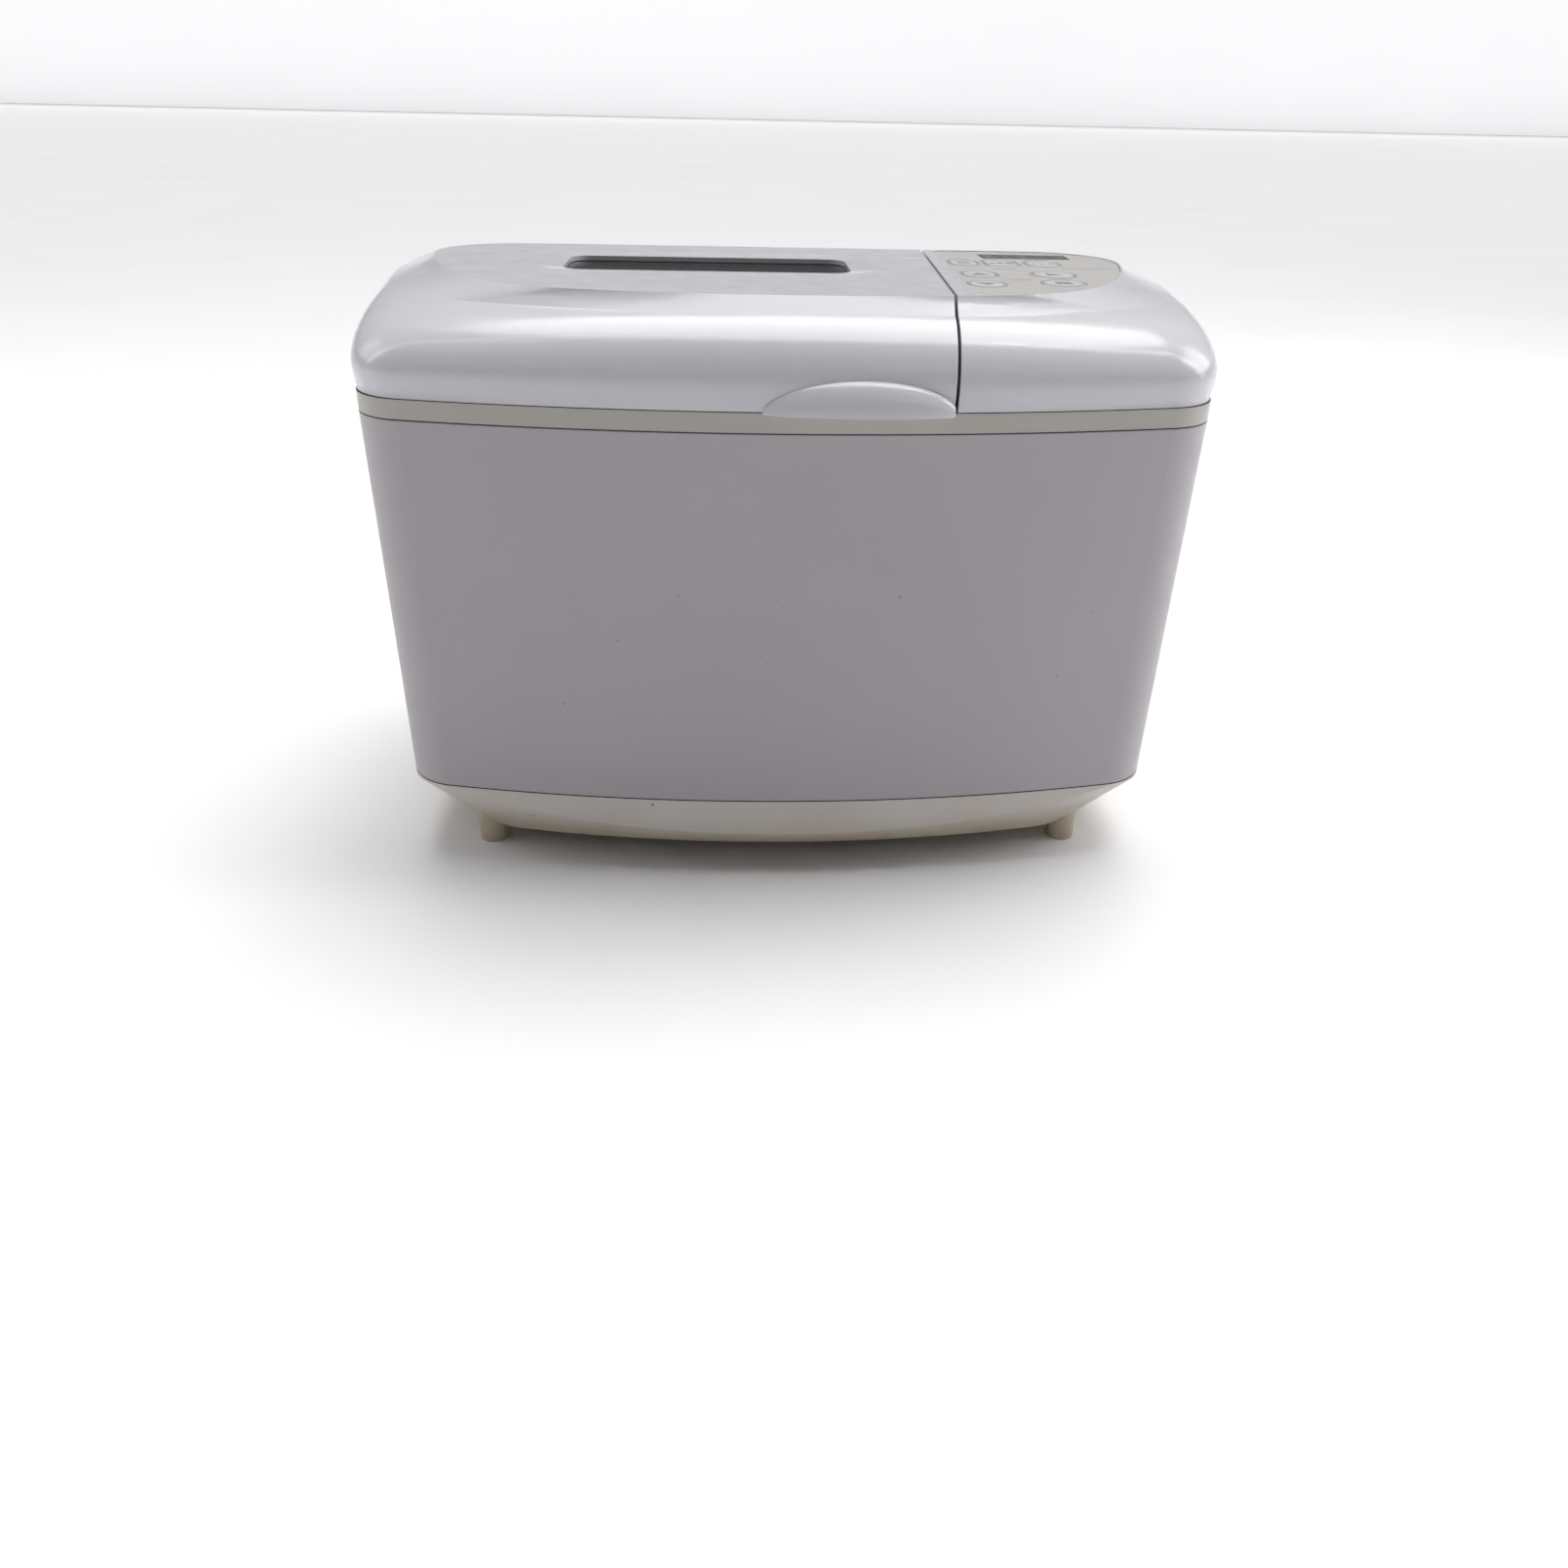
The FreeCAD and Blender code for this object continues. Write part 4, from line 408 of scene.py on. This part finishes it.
def icon_plans(name, x, y):
    """Plain signs for each key: bars, triangles, dots, a loaf, a disc and a square."""
    if name == "select":
        return [bar(x, y + dy, 8.0, 1.8) for dy in (-4.5, 0.0, 4.5)]
    if name == "loaf_size":
        return [
            rounded_rectangle(x - 5.2, y - 1.2, 2.8, 5.0, 1.0),
            rounded_rectangle(x - 0.6, y - 0.4, 3.8, 7.0, 1.3),
            rounded_rectangle(x + 5.0, y + 0.6, 4.8, 9.0, 1.6),
        ]
    if name == "bake_color":
        dots = ((-5, 2.4), (0, 3.4), (5.2, 4.4))
        return [rounded_rectangle(x + dx, y, size, size, size / 2 - 0.01) for dx, size in dots]
    if name == "timer_up":
        return [polygon(x, y, [(-5.2, -4.0), (5.2, -4.0), (0.0, 5.0)])]
    if name == "timer_down":
        return [polygon(x, y, [(0.0, -5.0), (5.2, 4.0), (-5.2, 4.0)])]
    if name == "start":
        return [polygon(x, y, [(-3.6, -5.4), (5.6, 0.0), (-3.6, 5.4)])]
    return [rounded_rectangle(x, y, 8.4, 8.4, 0.8)]


def make_key_prints():
    """A printed ring and a sign on each key."""
    for name, (x, y, width, depth, corner) in KEYS.items():

        def build(work):
            outer = rounded_rectangle(x, y, width - 0.9, depth - 0.9, corner - 0.45)
            inner = rounded_rectangle(x, y, width - 2.7, depth - 2.7, corner - 1.35)
            band(work, outer, inner, KEY_TOP - INK_SINK, KEY_TOP + INK_HEIGHT)
            for plan in icon_plans(name, x, y):
                slab(work, plan, KEY_TOP - INK_SINK, KEY_TOP + INK_HEIGHT)

        add_piece(f"print_{name}", build, f"button_{name}", INK)


def make_panel_prints():
    """Rule, label bars and the dark joint round each key and the film."""
    low, high = FILM_TOP - INK_SINK, FILM_TOP + INK_HEIGHT

    def labels(work):
        slab(work, bar(169.5, 18.0, 29.0, 1.5), low, high)
        for x, y, width in ((103.2, 54.0, 11.0), (124.6, 54.0, 14.0), (148.2, 54.0, 14.0)):
            slab(work, bar(x, y, width, 1.3), low, high)
        for x, y, width in ((122.0, 12.0, 13.0), (122.0, -32.0, 11.0), (144.0, -27.8, 12.0)):
            slab(work, bar(x, y, width, 1.3), low, high)

    add_piece("panel_labels", labels, "root", INK)

    def joints(work):
        for x, y, width, depth, corner in KEYS.values():
            outer = rounded_rectangle(x, y, width + 1.7, depth + 1.7, corner + 0.85)
            inner = rounded_rectangle(x, y, width + 0.7, depth + 0.7, corner + 0.35)
            band(work, outer, inner, low, high)

    add_piece("key_joint_lines", joints, "root", INK)


def make_display():
    """Bezel line and blank digit blocks of the display."""
    box_low, box_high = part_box("display_lens")
    x, y = (box_low[0] + box_high[0]) / 2 / MM, (box_low[1] + box_high[1]) / 2 / MM
    top = box_high[2] / MM

    def segments(work):
        for k in range(4):
            centre = x - 15.0 + 9.2 * k + (2.4 if k > 1 else 0.0)
            for dx in (-2.5, 2.5):
                for dy in (-3.0, 3.0):
                    slab(work, bar(centre + dx, y + dy, 1.1, 4.6), top - INK_SINK, top + INK_HEIGHT)
            for dy in (-5.9, 0.0, 5.9):
                slab(work, bar(centre, y + dy, 3.8, 1.1), top - INK_SINK, top + INK_HEIGHT)

    def bezel(work):
        outer = rounded_rectangle(x, y, 51.4, 19.4, 2.2)
        inner = rounded_rectangle(x, y, 48.6, 16.6, 1.4)
        band(work, outer, inner, top - INK_SINK, top + INK_HEIGHT)

    add_piece("display_segments", segments, "root", SEGMENT_INK)
    add_piece("display_bezel", bezel, "root", DARK_INK)


# ---------------------------------------------------------------- floor, light and camera


STAGE_REACH = 40.0
WALL_DISTANCE = 16.0
WALL_HEIGHTS = (-1.0, 1.5)
CAMERA_PLACE = Vector((-0.0322, -0.7407, 0.39038))
CAMERA_ANGLES = (28.59, 2.98, 1.31)
MACHINE_MIDDLE = (0, 0, 0.25)


def set_camera():
    """The photograph's view: a little left of the middle, looking down on the front."""
    pitch, yaw, roll = (math.radians(angle) for angle in CAMERA_ANGLES)
    forward = Vector((math.sin(yaw) * math.cos(pitch), math.cos(yaw) * math.cos(pitch), -math.sin(pitch)))
    level = Vector((math.cos(yaw), -math.sin(yaw), 0))
    raised = level.cross(forward)
    right = level * math.cos(roll) + raised * math.sin(roll)
    up = raised * math.cos(roll) - level * math.sin(roll)
    data = bpy.data.cameras.new("camera")
    data.sensor_width = 36.0
    data.lens = 29.603
    data.clip_start, data.clip_end = 0.05, 100.0
    camera = bpy.data.objects.new("camera", data)
    bpy.context.scene.collection.objects.link(camera)
    turn = Matrix((right, up, -forward)).transposed().to_4x4()
    camera.matrix_world = Matrix.Translation(CAMERA_PLACE) @ turn
    bpy.context.scene.camera = camera


def area_light(name, place, target, width, height, power):
    """Rectangular soft light at a place, facing a target."""
    data = bpy.data.lights.new(name, "AREA")
    data.shape = "RECTANGLE"
    data.size, data.size_y = width, height
    data.energy = power
    light = bpy.data.objects.new(name, data)
    light.location = place
    light.rotation_euler = (Vector(target) - Vector(place)).to_track_quat("-Z", "Y").to_euler()
    bpy.context.scene.collection.objects.link(light)


def sun_light(name, direction, strength, softness):
    """Even light along a direction; the softness is its angle in degrees."""
    data = bpy.data.lights.new(name, "SUN")
    data.energy = strength
    data.angle = math.radians(softness)
    light = bpy.data.objects.new(name, data)
    light.rotation_euler = Vector(direction).to_track_quat("-Z", "Y").to_euler()
    bpy.context.scene.collection.objects.link(light)


def build_backdrop():
    """Far pale wall that closes the view above the floor."""
    mesh = bpy.data.meshes.new("backdrop")
    low, high = WALL_HEIGHTS
    reach, y = STAGE_REACH, WALL_DISTANCE
    corners = [(-reach, y, low), (reach, y, low), (reach, y, high), (-reach, y, high)]
    mesh.from_pydata(corners, [], [(0, 1, 2, 3)])
    wall = bpy.data.objects.new("backdrop", mesh)
    bpy.context.scene.collection.objects.link(wall)
    look = Look("backdrop_paper", specular=0.1)
    tone = look.ramp(look.noise(0.4, 2.0), [(0.3, (0.88, 0.875, 0.885)), (0.7, (0.9, 0.895, 0.905))])
    look.colour(tone)
    look.link(tone, look.shader.inputs["Emission Color"])
    look.shader.inputs["Emission Strength"].default_value = 0.62
    look.roughen(look.span(look.noise(4.0, 2.0), 0.8, 0.95))
    wall.data.materials.append(look.material)


def build_stage():
    """Plain pale floor, dim even surroundings and a soft light from above and behind."""
    reach = STAGE_REACH
    corners = [(-reach, -reach, 0), (reach, -reach, 0), (reach, reach, 0), (-reach, reach, 0)]
    mesh = bpy.data.meshes.new("floor")
    mesh.from_pydata(corners, [], [(0, 1, 2, 3)])
    floor = bpy.data.objects.new("floor", mesh)
    bpy.context.scene.collection.objects.link(floor)
    look = Look("floor_paper", specular=0.1)
    look.colour(look.ramp(look.noise(3.0, 2.0), [(0.3, (0.84, 0.835, 0.845)), (0.7, (0.86, 0.855, 0.865))]))
    look.roughen(look.span(look.noise(40.0, 2.0), 0.8, 0.95))
    floor.data.materials.append(look.material)
    build_backdrop()
    world = bpy.data.worlds.new("studio")
    world.use_nodes = True
    background = world.node_tree.nodes["Background"]
    background.inputs["Color"].default_value = (0.93, 0.935, 0.96, 1)
    background.inputs["Strength"].default_value = 0.13
    bpy.context.scene.world = world
    sun_light("overhead", (-0.10, -0.36, -1.0), 2.9, 50.0)
    area_light("softbox_left", (-1.7, 0.2, 1.2), MACHINE_MIDDLE, 1.2, 1.0, 7.0)
    area_light("softbox_right", (1.7, 0.2, 1.2), MACHINE_MIDDLE, 1.2, 1.0, 15.0)
    area_light("strip_left", (-1.15, -0.1, 1.1), (-0.1, 0, 0.28), 0.05, 1.9, 2.2)
    area_light("strip_right", (1.15, -0.1, 1.1), (0.1, 0, 0.28), 0.05, 1.9, 4.2)
    area_light("cove_left", (-1.1, -1.7, 1.5), (-0.1, 0, 0.28), 1.5, 0.03, 0.8)
    area_light("cove_right", (1.1, -1.7, 1.5), (0.1, 0, 0.28), 1.5, 0.03, 0.8)


set_camera()
build_stage()
paint_nodes()
make_painted_seam_shadows()
make_key_prints()
make_panel_prints()
make_display()
bpy.context.scene.view_settings.view_transform = "Standard"
